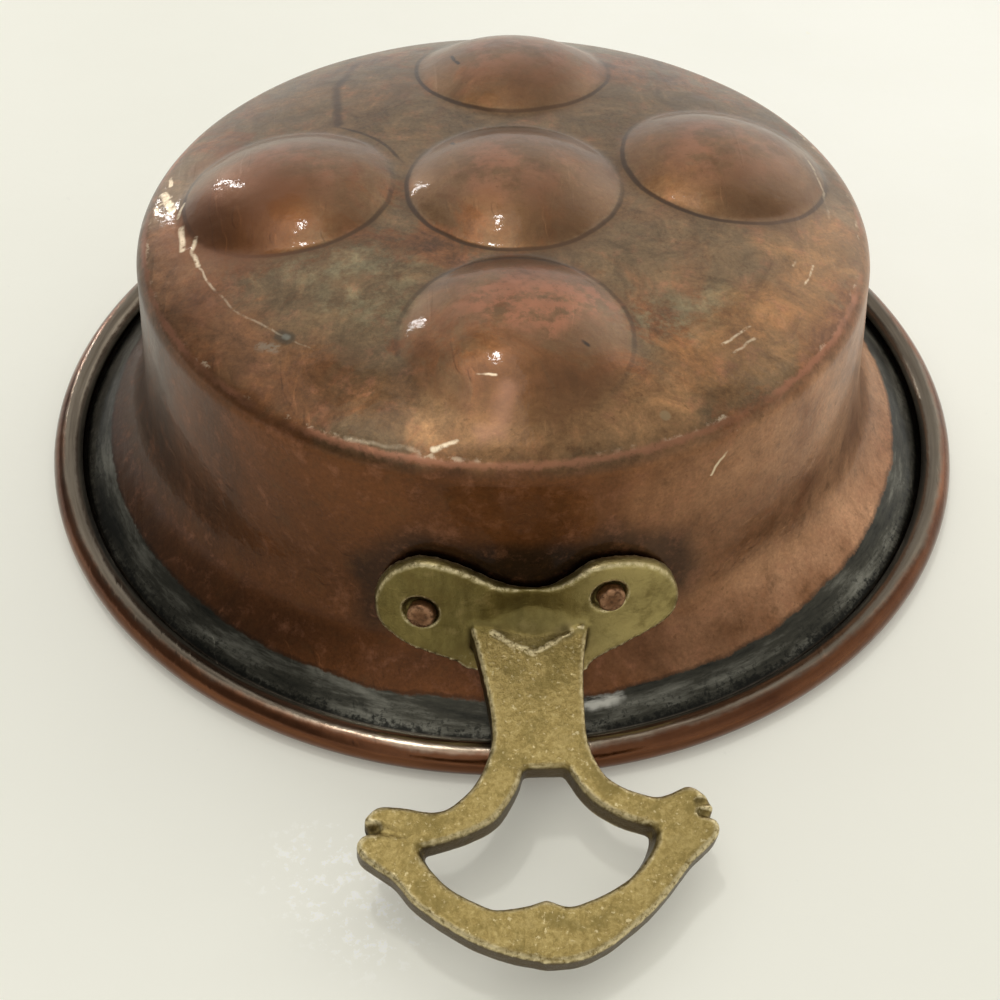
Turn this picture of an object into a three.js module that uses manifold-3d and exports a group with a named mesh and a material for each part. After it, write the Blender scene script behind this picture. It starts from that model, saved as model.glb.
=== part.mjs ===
// Copper escargot pan, lying upside down on its rim. Millimetres, +Z up, the handle towards -Y.
import * as THREE from 'three';
import Module from 'manifold-3d';
import { mergeVertices } from 'three/addons/utils/BufferGeometryUtils.js';

const wasm = await Module();
wasm.setup();

// Pan: the outside of the copper sheet, measured from the pan's axis and from the table
const panHeight = 53.5;
const rimRadius = 85;
const baseRadius = 63.2;
const sheetThickness = 1.2;
const crownDrop = 7.4;
const crownPower = 3.8;
const cornerCut = 2.4;
const wallLean = THREE.MathUtils.degToRad(6);
const wallLead = 30;
const flareAngle = THREE.MathUtils.degToRad(33);
const flareLead = 16;
const flareRun = 4.9;

// Rim: the sheet curls round an iron wire, and its edge stops short of the flare
const beadRadius = 2.75;
const rimWear = 0.1;
const curlEndAngle = THREE.MathUtils.degToRad(165);

// Wells: pressed caps, with their places as shares of the room inside the base's edge
const wellRadius = 18.2;
const wellRise = 5.2;
const capReachShare = 1.08;
const wellPlaces = [
  { ringShare: 0.04, azimuth: -10 },
  { ringShare: 0.97, azimuth: 84 },
  { ringShare: 0.87, azimuth: 176 },
  { ringShare: 0.94, azimuth: 10 },
  { ringShare: 0.92, azimuth: -91 },
];

// Lining and the clearance that neighbouring pieces keep
const liningThickness = 0.4;
const clearance = 0.3;
const overrun = 5;

// Handle: a plate that follows the wall, and a stem and loop that share one sloping plane
const plateThickness = 2.4;
const plateHalfWidth = 24.3;
const plateHeight = 18.4;
const plateFootHeight = 11.2;
const stemHeight = 18.4;
const stemHalfWidth = 7;
const loopHalfWidth = 25;
const loopLength = 36;
const barThickness = 4.6;
const barBevel = 0.9;
const handleSlope = THREE.MathUtils.degToRad(9);
const handleTwist = THREE.MathUtils.degToRad(-3);

// Rivets: one shank, a head inside the pan and an upset tail in the plate's counterbore
const shankRadius = 2;
const headRadius = 4.5;
const headThickness = 1.8;
const tailRadius = 2.5;
const tailProud = 1.1;
const tailChamfer = 0.4;
const counterboreRadius = 3.15;
const counterboreDepth = 0.9;
const rivetPlaces = [
  { name: 'rivet_left', acrossShare: -0.68, upShare: 0.445 },
  { name: 'rivet_right', acrossShare: 0.495, upShare: 0.592 },
];

// Steps of the round shapes
const panSegments = 48;
const ringSegments = 120;
const domeSegments = 24;
const domeRings = 4;
const boltSegments = 20;
const crownSteps = 5;
const cornerSteps = 3;
const wallSteps = 8;
const quarterSteps = 3;
const headSteps = 6;
const wireSides = 10;

const point = (x, y) => new THREE.Vector2(x, y);

// Solids

function toSolid(geometry) {
  const bare = geometry.clone();
  bare.deleteAttribute('normal');
  bare.deleteAttribute('uv');
  const merged = mergeVertices(bare);
  const mesh = new wasm.Mesh({
    numProp: 3,
    vertProperties: Float32Array.from(merged.attributes.position.array),
    triVerts: Uint32Array.from(merged.index.array),
  });
  return new wasm.Manifold(mesh);
}

function toGeometry(solid) {
  const mesh = solid.getMesh();
  const geometry = new THREE.BufferGeometry();
  geometry.setAttribute('position', new THREE.BufferAttribute(mesh.vertProperties, mesh.numProp));
  geometry.setIndex(new THREE.BufferAttribute(mesh.triVerts, 1));
  geometry.computeVertexNormals();
  return geometry;
}

// A lathe turns about Y, so its geometry is turned upright, with the pan's axis along Z
function revolve(profile, segments) {
  return new THREE.LatheGeometry(profile, segments).rotateX(Math.PI / 2);
}

// Moves each point of an open profile square to it. Positive distances go into the pan.
function offsetProfile(profile, distance) {
  return profile.map((here, i) => {
    const before = profile[Math.max(i - 1, 0)];
    const after = profile[Math.min(i + 1, profile.length - 1)];
    const along = after.clone().sub(before).normalize();
    const normal = here.x === 0 ? point(0, -1) : point(along.y, -along.x);
    return here.clone().addScaledVector(normal, distance);
  });
}

// Sheet between two offsets of a profile. It closes on itself, or on the axis.
function layer(profile, near, far, segments) {
  const outside = offsetProfile(profile, near);
  const inside = offsetProfile(profile, far).reverse();
  return toSolid(revolve([...outside, ...inside, outside[0].clone()].reverse(), segments));
}

// Everything inside an offset of the profile, down past the rim
function core(profile, distance, segments) {
  const skin = offsetProfile(profile, distance);
  const low = skin[skin.length - 1];
  const floor = -overrun;
  return toSolid(revolve([...skin, point(low.x, floor), point(0, floor)].reverse(), segments));
}

// Profile of the sheet's outside, from the axis down to the curl

const curlInnerRadius = beadRadius - sheetThickness;
const curlCentre = point(rimRadius - beadRadius, beadRadius - rimWear);
const wallDirection = point(Math.sin(wallLean), -Math.cos(wallLean));
const flareDirection = point(Math.cos(flareAngle), -Math.sin(flareAngle));

function crownHeight(radius) {
  return panHeight - crownDrop * (radius / baseRadius) ** crownPower;
}

function crownPoints(count) {
  const reach = baseRadius - cornerCut;
  const steps = Array.from({ length: count + 1 }, (_, i) => (reach * i) / count);
  return steps.map((radius) => point(radius, crownHeight(radius)));
}

const edge = point(baseRadius, crownHeight(baseRadius));
const wallTop = edge.clone().addScaledVector(wallDirection, cornerCut);
const flareSide = point(flareDirection.y, -flareDirection.x);
const curlStart = curlCentre.clone().addScaledVector(flareSide, curlInnerRadius);
const flareTop = curlStart.clone().addScaledVector(flareDirection, -flareRun);

const crown = crownPoints(crownSteps);
const cornerCurve = new THREE.QuadraticBezierCurve(crown[crown.length - 1], edge, wallTop);
const corner = cornerCurve.getPoints(cornerSteps);
const wall = new THREE.CubicBezierCurve(
  wallTop,
  wallTop.clone().addScaledVector(wallDirection, wallLead),
  flareTop.clone().addScaledVector(flareDirection, -flareLead),
  flareTop,
).getPoints(wallSteps);
const bowl = [...crown, ...corner.slice(1), ...wall.slice(1)];

// Radius and slope of the wall's outside at a height
function wallAt(height) {
  const i = wall.findIndex((each) => each.y < height);
  const [above, below] = [wall[i - 1], wall[i]];
  const part = (above.y - height) / (above.y - below.y);
  const lean = Math.atan2(below.x - above.x, above.y - below.y);
  return { radius: above.x + (below.x - above.x) * part, lean };
}

// The curl runs under the wire, up outside it and back over its top. Its foot is worn flat.
function curlArc(radius) {
  const flat = Math.acos(curlCentre.y / beadRadius);
  const runs = [
    { to: -Math.PI / 2 - flat, steps: 1 },
    { to: -Math.PI / 2 + flat, steps: 1 },
    { to: 0, steps: quarterSteps },
    { to: Math.PI / 2, steps: quarterSteps },
    { to: curlEndAngle, steps: quarterSteps - 1 },
  ];
  let from = -Math.PI / 2 - flareAngle;
  const angles = [from];
  for (const { to, steps } of runs) {
    angles.push(...Array.from({ length: steps }, (_, i) => from + ((to - from) * (i + 1)) / steps));
    from = to;
  }
  return angles.map((angle) => {
    const outward = point(Math.cos(angle), Math.sin(angle));
    return curlCentre.clone().addScaledVector(outward, radius);
  });
}

function panSheet() {
  const outside = [...bowl, ...curlArc(curlInnerRadius)];
  const inside = [...offsetProfile(bowl, sheetThickness), ...curlArc(beadRadius)].reverse();
  return toSolid(revolve([...outside, ...inside, outside[0].clone()].reverse(), panSegments));
}

// Wells

const wellRoom = baseRadius - cornerCut - wellRadius;
const wellSphereRadius = (wellRadius ** 2 + wellRise ** 2) / (2 * wellRise);

// Centre of a well's sphere: it cuts the crown, on average, at the well's own radius
function wellCentre({ ringShare, azimuth }) {
  const ring = ringShare * wellRoom;
  const [low, high] = [crownHeight(ring + wellRadius), crownHeight(Math.abs(ring - wellRadius))];
  const aside = crownHeight(Math.hypot(ring, wellRadius));
  const sag = crownHeight(ring) - (low + high + 2 * aside) / 4;
  const tilt = Math.atan2(high - low, 2 * wellRadius) * Math.min(1, ring / wellRadius);
  const depth = wellSphereRadius - wellRise + sag;
  const radial = ring - depth * Math.sin(tilt);
  const angle = THREE.MathUtils.degToRad(azimuth);
  const z = crownHeight(ring) - depth * Math.cos(tilt);
  return { x: radial * Math.cos(angle), y: radial * Math.sin(angle), z, tilt };
}

// A well's cap: a part of a sphere with a straight skirt that reaches into the pan
function capSolid(place, shrink) {
  const radius = wellSphereRadius - shrink;
  const reach = Math.asin((wellRadius * capReachShare) / wellSphereRadius);
  const centre = wellCentre(place);
  const arc = Array.from({ length: domeRings + 1 }, (_, i) => {
    const angle = (reach * i) / domeRings;
    return point(radius * Math.sin(angle), radius * Math.cos(angle));
  });
  const skirt = arc[domeRings].clone().sub(point(0, overrun));
  const profile = [...arc, skirt, point(0, skirt.y)].reverse();
  const cap = revolve(profile, domeSegments).rotateY(centre.tilt);
  cap.rotateZ(THREE.MathUtils.degToRad(place.azimuth));
  return toSolid(cap.translate(centre.x, centre.y, centre.z));
}

function wellCaps(shrink) {
  return wellPlaces.map((place) => capSolid(place, shrink)).reduce((sum, each) => sum.add(each));
}

// Rivets

// Place and direction of a rivet: its origin lies on the wall's outside
function rivetFrame({ acrossShare, upShare }) {
  const height = plateFootHeight + upShare * plateHeight;
  const { radius, lean } = wallAt(height);
  const azimuth = (acrossShare * plateHalfWidth) / radius;
  const outward = new THREE.Vector3(
    Math.sin(azimuth) * Math.cos(lean),
    -Math.cos(azimuth) * Math.cos(lean),
    Math.sin(lean),
  );
  const origin = new THREE.Vector3(radius * Math.sin(azimuth), -radius * Math.cos(azimuth), height);
  const turn = new THREE.Quaternion().setFromUnitVectors(new THREE.Vector3(0, 1, 0), outward);
  return new THREE.Matrix4().compose(origin, turn, new THREE.Vector3(1, 1, 1));
}

function boltHole(place, radius, from, to) {
  const hole = new THREE.CylinderGeometry(radius, radius, to - from, boltSegments);
  return toSolid(hole.translate(0, (from + to) / 2, 0).applyMatrix4(rivetFrame(place)));
}

const plateFront = clearance + plateThickness;
const counterboreFloor = plateFront - counterboreDepth;
const liningInside = sheetThickness + clearance + liningThickness;
const headSag = headRadius ** 2 / (2 * baseRadius);
const headSeat = -liningInside - clearance - headSag;

function shankHoles() {
  const radius = shankRadius + clearance;
  const holes = rivetPlaces.map((place) => boltHole(place, radius, headSeat - overrun, overrun));
  return holes.reduce((sum, each) => sum.add(each));
}

function counterbores() {
  const outer = plateFront + overrun;
  const bores = rivetPlaces.map((place) => boltHole(place, counterboreRadius, counterboreFloor, outer));
  return bores.reduce((sum, each) => sum.add(each));
}

function rivetGeometry(place) {
  const headTop = headSeat - headThickness;
  const dome = new THREE.QuadraticBezierCurve(
    point(0, headTop),
    point(headRadius, headTop),
    point(headRadius, headSeat),
  ).getPoints(headSteps);
  const tailSeat = counterboreFloor + clearance;
  const tailTop = plateFront + tailProud;
  const profile = [
    ...dome,
    point(shankRadius, headSeat),
    point(shankRadius, tailSeat),
    point(tailRadius, tailSeat),
    point(tailRadius, tailTop - tailChamfer),
    point(tailRadius - tailChamfer, tailTop),
    point(0, tailTop),
  ];
  const lathe = new THREE.LatheGeometry(profile, boltSegments).applyMatrix4(rivetFrame(place));
  return toGeometry(toSolid(lathe));
}

// Handle

// Wings of the plate, seen from outside: across and up, as shares of its half width and its height
const plateShares = [
  [-0.35, -0.06], [-0.48, -0.01], [-0.7, 0.03], [-0.86, 0.09], [-0.97, 0.21], [-1, 0.38],
  [-0.98, 0.56], [-0.9, 0.78], [-0.78, 0.93], [-0.66, 0.98], [-0.52, 0.96], [-0.39, 0.9],
  [-0.19, 0.77], [0, 0.72], [0.13, 0.76], [0.24, 0.86], [0.31, 0.94], [0.41, 1], [0.58, 0.99],
  [0.75, 0.91], [0.88, 0.77], [0.97, 0.55], [0.98, 0.38], [0.93, 0.27], [0.8, 0.19], [0.57, 0.09],
  [0.41, 0.01], [0.33, -0.05],
];

// Edges of the stem: across as shares of its half width, out as shares of its reach
const stemLeftShares = [[-1.3, -0.1], [-1.08, 0.4], [-0.93, 0.9]];
const stemRightShares = [[0.9, 0.95], [0.98, 0.45], [1.12, -0.1]];

// Loop: across as shares of its half width, out from the rim as shares of its length
const leftHornShares = [
  [-0.27, 0.11], [-0.37, 0.27], [-0.53, 0.38], [-0.66, 0.41], [-0.82, 0.39], [-0.95, 0.38], [-1, 0.4],
  [-1.02, 0.43], [-0.92, 0.47],
];
const bowShares = [
  [-0.92, 0.47], [-1.05, 0.5], [-1.06, 0.55], [-0.98, 0.6], [-0.87, 0.66], [-0.77, 0.75], [-0.63, 0.83],
  [-0.45, 0.91], [-0.28, 0.96], [-0.12, 0.99], [-0.04, 1], [0.12, 0.99], [0.26, 0.95], [0.39, 0.89],
  [0.52, 0.82], [0.65, 0.73], [0.79, 0.62], [0.89, 0.56], [0.96, 0.51], [0.96, 0.47], [0.91, 0.43],
];
const rightHornShares = [
  [0.91, 0.43], [0.95, 0.4], [0.91, 0.36], [0.85, 0.33], [0.8, 0.34], [0.73, 0.36], [0.64, 0.37],
  [0.5, 0.34], [0.4, 0.3], [0.32, 0.24], [0.26, 0.12],
];

// Finger opening: a straight edge at the stem, two hollow shoulders and a bow with a cusp in its middle
const openingRightShares = [
  [0.16, 0.19], [0.2, 0.24], [0.25, 0.3], [0.33, 0.36], [0.44, 0.41], [0.54, 0.44], [0.68, 0.47],
];
const openingBowRightShares = [
  [0.68, 0.47], [0.65, 0.55], [0.59, 0.62], [0.48, 0.7], [0.34, 0.76], [0.2, 0.8], [0.08, 0.82],
  [-0.05, 0.79],
];
const openingBowLeftShares = [
  [-0.05, 0.79], [-0.15, 0.81], [-0.25, 0.82], [-0.36, 0.82], [-0.51, 0.77], [-0.62, 0.72],
  [-0.7, 0.66], [-0.76, 0.6], [-0.81, 0.53],
];
const openingLeftShares = [
  [-0.81, 0.53], [-0.63, 0.5], [-0.49, 0.47], [-0.34, 0.42], [-0.25, 0.35], [-0.18, 0.27], [-0.14, 0.19],
];

const handleRoot = wallAt(stemHeight).radius + plateFront;
const stemReach = (rimRadius - handleRoot) / Math.cos(handleSlope);

// Smooth run of an outline through its points, with a few steps from each to the next
function smooth(points, steps = 2) {
  return new THREE.SplineCurve(points).getPoints(steps * (points.length - 1));
}

function stemPoints(shares) {
  return shares.map(([across, out]) => point(across * stemHalfWidth, -out * stemReach));
}

function loopPoints(shares) {
  return shares.map(([across, out]) => {
    return point(across * loopHalfWidth, -stemReach - out * loopLength);
  });
}

function loopShape() {
  const left = [...stemPoints(stemLeftShares), ...loopPoints(leftHornShares)];
  const right = [...loopPoints(rightHornShares), ...stemPoints(stemRightShares)];
  const bow = loopPoints(bowShares);
  const shape = new THREE.Shape([...smooth(left), ...smooth(bow), ...smooth(right)]);
  const runs = [openingRightShares, openingBowRightShares, openingBowLeftShares, openingLeftShares];
  shape.holes.push(new THREE.Path(runs.flatMap((run) => smooth(loopPoints(run)))));
  return shape;
}

// Frame of the handle: X across, Y back towards the pan, Z square to the loop
function handleFrame() {
  const slope = new THREE.Matrix4().makeRotationX(handleSlope);
  const twist = new THREE.Matrix4().makeRotationY(-handleTwist);
  const place = new THREE.Matrix4().makeTranslation(0, -handleRoot, stemHeight);
  return place.multiply(slope).multiply(twist);
}

function loopSolid() {
  const slab = new THREE.ExtrudeGeometry(loopShape(), {
    depth: barThickness - 2 * barBevel,
    bevelThickness: barBevel,
    bevelSize: barBevel,
    bevelSegments: 2,
  });
  return toSolid(slab.translate(0, 0, barBevel - barThickness).applyMatrix4(handleFrame()));
}

// Plate: the wings' outline, run through the ring that lies on the wall
function plateSolid() {
  const wings = plateShares.map(([across, up]) => {
    return point(across * plateHalfWidth, (up - 0.5) * plateHeight);
  });
  const outline = new THREE.Shape(smooth([...wings, wings[0]]).slice(1));
  const prism = new THREE.ExtrudeGeometry(outline, { depth: rimRadius, bevelEnabled: false });
  prism.rotateZ(handleTwist).rotateX(Math.PI / 2);
  prism.translate(0, 0, plateFootHeight + plateHeight / 2);
  return toSolid(prism).intersect(layer(wall, -plateFront, -clearance, ringSegments));
}

function handleGeometry() {
  const keepOut = core(bowl, -clearance, ringSegments);
  const casting = plateSolid().add(loopSolid()).subtract(keepOut);
  return toGeometry(casting.subtract(shankHoles()).subtract(counterbores()));
}

// Pan, lining and wire

function panGeometry() {
  const domes = wellCaps(0).subtract(core(bowl, sheetThickness / 2, panSegments));
  const sheet = panSheet().add(domes).subtract(wellCaps(sheetThickness));
  return toGeometry(sheet.subtract(shankHoles()));
}

function liningGeometry() {
  const near = sheetThickness + clearance;
  const far = near + liningThickness;
  const domes = wellCaps(near).subtract(core(bowl, (near + far) / 2, panSegments));
  const sheet = layer(bowl, near, far, panSegments).add(domes).subtract(wellCaps(far));
  return toGeometry(sheet.subtract(shankHoles()));
}

function wireGeometry() {
  const wire = new THREE.TorusGeometry(curlCentre.x, curlInnerRadius - clearance, wireSides, panSegments);
  return wire.translate(0, 0, curlCentre.y);
}

// Finishes and assembly

const copper = { color: 0x7d4a35, roughness: 0.38, metalness: 1 };
const tin = { color: 0x9a9a93, roughness: 0.5, metalness: 1 };
const iron = { color: 0x56504a, roughness: 0.7, metalness: 1 };
const brass = { color: 0x95803f, roughness: 0.45, metalness: 1 };
const rivetCopper = { color: 0x84543f, roughness: 0.5, metalness: 1 };

function piece(name, geometry, finish) {
  const mesh = new THREE.Mesh(geometry, new THREE.MeshStandardMaterial(finish));
  mesh.name = name;
  return mesh;
}

const pan = new THREE.Group();
pan.add(piece('pan_shell', panGeometry(), copper));
pan.add(piece('rim_wire', wireGeometry(), iron));
pan.add(piece('tin_lining', liningGeometry(), tin));
pan.add(piece('handle', handleGeometry(), brass));
for (const place of rivetPlaces) {
  pan.add(piece(place.name, rivetGeometry(place), rivetCopper));
}

// The group's origin is the middle of its footprint, on the table
const footprint = new THREE.Box3().setFromObject(pan).getCenter(new THREE.Vector3());
pan.position.set(-footprint.x, -footprint.y, 0);

export default pan;
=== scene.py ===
"""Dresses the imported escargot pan: tarnished copper, wiped tin, a cast brass handle and copper rivets.

The pan lies upside down on its rim, with the handle towards -Y. Every length is in metres.
"""

import logging
import math
from collections.abc import Iterable, Sequence
from dataclasses import dataclass, field
from enum import Enum

import bmesh
import bpy
from mathutils import Matrix, Vector, noise


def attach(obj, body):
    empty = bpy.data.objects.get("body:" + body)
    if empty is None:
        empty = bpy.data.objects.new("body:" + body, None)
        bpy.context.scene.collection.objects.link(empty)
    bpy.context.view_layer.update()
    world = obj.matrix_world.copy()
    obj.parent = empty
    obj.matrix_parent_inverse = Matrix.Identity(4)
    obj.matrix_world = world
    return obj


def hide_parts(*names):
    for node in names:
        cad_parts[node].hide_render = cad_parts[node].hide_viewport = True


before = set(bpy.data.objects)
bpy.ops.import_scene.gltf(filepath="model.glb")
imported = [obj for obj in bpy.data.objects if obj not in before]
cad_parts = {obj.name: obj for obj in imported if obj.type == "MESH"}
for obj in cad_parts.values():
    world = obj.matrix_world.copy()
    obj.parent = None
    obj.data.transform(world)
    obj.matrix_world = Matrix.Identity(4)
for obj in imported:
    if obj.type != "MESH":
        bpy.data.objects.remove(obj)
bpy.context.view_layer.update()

log = logging.getLogger("escargot_pan")

BODY = "root"
AXIS = Vector((0.0, 0.018157, 0.0))
UPWARDS = Vector((0.0, 0.0, 1.0))
CLEARANCE = 0.0003
WELD = 1e-7
PLACE = "place"

Colour = tuple[float, float, float]
Point = tuple[float, float, float]
Pair = tuple[float, float]
Stop = tuple[float, Colour]
BMesh = bmesh.types.BMesh
Piece = bpy.types.Object
Material = bpy.types.Material
Socket = bpy.types.NodeSocket
Factor = float | bpy.types.NodeSocket


class Slot(Enum):
    """The record's material slots."""

    COPPER = "copper_shell"
    TIN = "tin_lining"
    IRON = "iron_wire"
    BRASS = "cast_brass"
    RIVET = "copper_rivet"


def smoothstep(low: float, high: float, value: float) -> float:
    """Eased step from 0 at low to 1 at high."""
    share = min(max((value - low) / (high - low), 0.0), 1.0)
    return share * share * (3.0 - 2.0 * share)


def off_axis(place: Vector) -> float:
    """Distance of a place from the pan's axis."""
    return math.hypot(place.x - AXIS.x, place.y - AXIS.y)


def ripple(place: Vector, size: float, seed: float) -> float:
    """Smooth noise in -1 to 1.

    Args:
        place: Point on the surface.
        size: Width of a swell.
        seed: Shift that makes this ripple its own.

    Returns:
        The height of the ripple at the place.
    """
    return noise.noise(place / size + Vector((seed, seed * 1.7, -seed)))


def piece_from(form: BMesh, name: str) -> Piece:
    """Turns a finished form into a smooth-shaded piece that rides on the pan.

    Args:
        form: The shape, in place. It is freed.
        name: Name of the piece.

    Returns:
        The new object.
    """
    for face in form.faces:
        face.smooth = True
    mesh = bpy.data.meshes.new(name)
    form.to_mesh(mesh)
    form.free()
    piece = bpy.data.objects.new(name, mesh)
    bpy.context.scene.collection.objects.link(piece)
    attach(piece, BODY)
    return piece


def baked(piece: Piece) -> None:
    """Applies a piece's modifiers to its mesh.

    Args:
        piece: The piece, left without modifiers.
    """
    bpy.context.view_layer.update()
    graph = bpy.context.evaluated_depsgraph_get()
    mesh = bpy.data.meshes.new_from_object(piece.evaluated_get(graph))
    piece.modifiers.clear()
    spare = piece.data
    piece.data = mesh
    bpy.data.meshes.remove(spare)
    for face in piece.data.polygons:
        face.use_smooth = True


def bezier(points: Sequence[Vector], steps: int) -> list[Vector]:
    """Points of a Bezier curve of any degree, both ends included.

    Args:
        points: The curve's control points.
        steps: Number of steps along it.

    Returns:
        The points.
    """
    run = []
    for i in range(steps + 1):
        share = i / steps
        level = list(points)
        while len(level) > 1:
            level = [a.lerp(b, share) for a, b in zip(level, level[1:])]
        run.append(level[0])
    return run


def spline(points: Sequence[Vector], steps: int) -> list[Vector]:
    """Catmull-Rom run through points, with a few steps from each to the next.

    Args:
        points: The points that it goes through.
        steps: Steps from each to the next.

    Returns:
        The points.
    """
    run = [points[0]]
    last = len(points) - 1
    for i in range(last):
        before, start, end, after = (points[min(max(k, 0), last)] for k in (i - 1, i, i + 1, i + 2))
        for k in range(1, steps + 1):
            t = k / steps
            slope = (end - before) * 0.5 * t
            square = (before * 2 - start * 5 + end * 4 - after) * 0.5 * t * t
            cube = (start * 3 - before - end * 3 + after) * 0.5 * t * t * t
            run.append(start + slope + square + cube)
    return run


def turned(run: Sequence[Vector], steps: int, axis: Vector) -> BMesh:
    """Spins a run of radii and heights, which starts and ends on the axis, about it.

    Args:
        run: Radius and height of each point.
        steps: Steps of the full turn.
        axis: Foot of the upright axis.

    Returns:
        The closed shape.
    """
    form = bmesh.new()
    points = [form.verts.new((each.x + axis.x, axis.y, each.y)) for each in run]
    edges = [form.edges.new(pair) for pair in zip(points, points[1:])]
    bmesh.ops.spin(form, geom=points + edges, cent=axis, axis=UPWARDS, angle=math.tau, steps=steps,
                   use_merge=True)
    bmesh.ops.remove_doubles(form, verts=form.verts, dist=WELD)
    bmesh.ops.recalc_face_normals(form, faces=form.faces)
    return form


def filled(*outlines: Sequence[Vector]) -> BMesh:
    """Flat form that faces up, inside one closed outline and outside the others.

    Args:
        *outlines: The outer outline, and then those of the openings.

    Returns:
        The faces, all in one plane.
    """
    form = bmesh.new()
    edges = []
    for outline in outlines:
        points = [form.verts.new((each.x, each.y, 0.0)) for each in outline]
        edges += [form.edges.new(pair) for pair in zip(points, points[1:] + points[:1])]
    bmesh.ops.triangle_fill(form, edges=edges, use_beauty=True)
    if sum(face.normal.z for face in form.faces) < 0:
        bmesh.ops.reverse_faces(form, faces=form.faces)
    return form


def extruded(form: BMesh, cap: Sequence[bmesh.types.BMFace],
             keep: bool = True) -> tuple[list[bmesh.types.BMVert], list[bmesh.types.BMFace]]:
    """Extrudes a cap of faces.

    Args:
        form: The shape.
        cap: The faces.
        keep: Whether they stay where they were.

    Returns:
        The new vertices and the new cap.
    """
    made = bmesh.ops.extrude_face_region(form, geom=cap, use_keep_orig=keep)["geom"]
    verts = [each for each in made if isinstance(each, bmesh.types.BMVert)]
    return verts, [each for each in made if isinstance(each, bmesh.types.BMFace)]


def smoothed(form: BMesh, verts: Iterable[bmesh.types.BMVert], rounds: int) -> None:
    """Evens out vertices, a few rounds over."""
    for _ in range(rounds):
        bmesh.ops.smooth_vert(form, verts=verts, factor=0.5, use_axis_x=True, use_axis_y=True,
                              use_axis_z=True)


@dataclass(frozen=True)
class Mark:
    """A stain, streak or scratch at a place of its own."""

    tint: Colour
    strength: float
    half: float
    soft: float
    points: tuple[Point, ...]


class Tree:
    """A node tree, built a step at a time."""

    def __init__(self, tree: bpy.types.NodeTree) -> None:
        """Takes the tree that the nodes go into."""
        self.tree = tree

    def node(self, kind: str, **settings: object) -> bpy.types.Node:
        """A new node with the given settings.

        Args:
            kind: The node's type.
            **settings: Properties to set on it.

        Returns:
            The node.
        """
        made = self.tree.nodes.new(kind)
        for key, value in settings.items():
            setattr(made, key, value)
        return made

    def feed(self, socket: Socket, value: object) -> None:
        """Links a socket to its source, or sets its value.

        Args:
            socket: The input.
            value: An output, or a number, vector or colour.
        """
        if isinstance(value, bpy.types.NodeSocket):
            self.tree.links.new(value, socket)
        elif isinstance(value, tuple) and len(value) == 3 and socket.type == "RGBA":
            socket.default_value = (*value, 1.0)
        else:
            socket.default_value = value

    def math(self, operation: str, first: Factor, second: Factor = 0.0) -> Socket:
        """Result of a Math node.

        Args:
            operation: What it does.
            first: Its first value.
            second: Its second value.

        Returns:
            Its output.
        """
        made = self.node("ShaderNodeMath", operation=operation)
        self.feed(made.inputs[0], first)
        self.feed(made.inputs[1], second)
        return made.outputs[0]

    def vector(self, operation: str, first: object, second: object = (0.0, 0.0, 0.0)) -> Socket:
        """Result of a Vector Math node, its number where the operation gives one.

        Args:
            operation: What it does.
            first: Its first vector.
            second: Its second vector.

        Returns:
            Its output.
        """
        made = self.node("ShaderNodeVectorMath", operation=operation)
        self.feed(made.inputs[0], first)
        self.feed(made.inputs[1], second)
        gives_number = operation in ("LENGTH", "DOT_PRODUCT")
        return made.outputs["Value"] if gives_number else made.outputs["Vector"]

    def step(self, value: Factor, low: float, high: float, top: float = 1.0) -> Socket:
        """Eased step from 0 at low to top at high. High may be the lower number.

        Args:
            value: What is measured.
            low: Where the step is 0.
            high: Where it has its full height.
            top: Its full height.

        Returns:
            The step.
        """
        made = self.node("ShaderNodeMapRange", interpolation_type="SMOOTHSTEP", clamp=False)
        turned_round = high < low
        ends = (high, low, top, 0.0) if turned_round else (low, high, 0.0, top)
        self.feed(made.inputs["Value"], value)
        for key, end in zip(("From Min", "From Max", "To Min", "To Max"), ends):
            made.inputs[key].default_value = end
        return made.outputs["Result"]

    def band(self, value: Factor, centre: float, half: float, soft: float) -> Socket:
        """Mask of the values within half of the centre, with soft edges."""
        off = self.math("ABSOLUTE", self.math("SUBTRACT", value, centre))
        return self.step(off, half + soft, half)

    def times(self, first: Factor, *others: Factor) -> Socket:
        """Product of masks and numbers."""
        for other in others:
            first = self.math("MULTIPLY", first, other)
        return first

    def swing(self, pattern: Socket, reach: float) -> Socket:
        """Pattern in 0 to 1 made to swing about 0, over the reach from end to end."""
        return self.times(self.math("SUBTRACT", pattern, 0.5), reach)

    def scaled(self, pattern: Socket, reach: float, least: float) -> Socket:
        """Pattern in 0 to 1 made to run over the reach, from the least number."""
        return self.math("ADD", self.times(pattern, reach), least)

    def raised(self, level: Factor, mask: Socket, gain: float) -> Socket:
        """Level with a gain on top where the mask is 1."""
        return self.math("ADD", level, self.times(mask, gain))

    def dimmed(self, level: Factor, mask: Socket, share: float) -> Socket:
        """Level less a share of itself where the mask is 1."""
        return self.times(level, self.math("SUBTRACT", 1.0, self.times(mask, share)))

    def gap(self, place: Socket, point: Point) -> Socket:
        """Distance of a place from a point."""
        return self.vector("LENGTH", self.vector("SUBTRACT", place, point))


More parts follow.
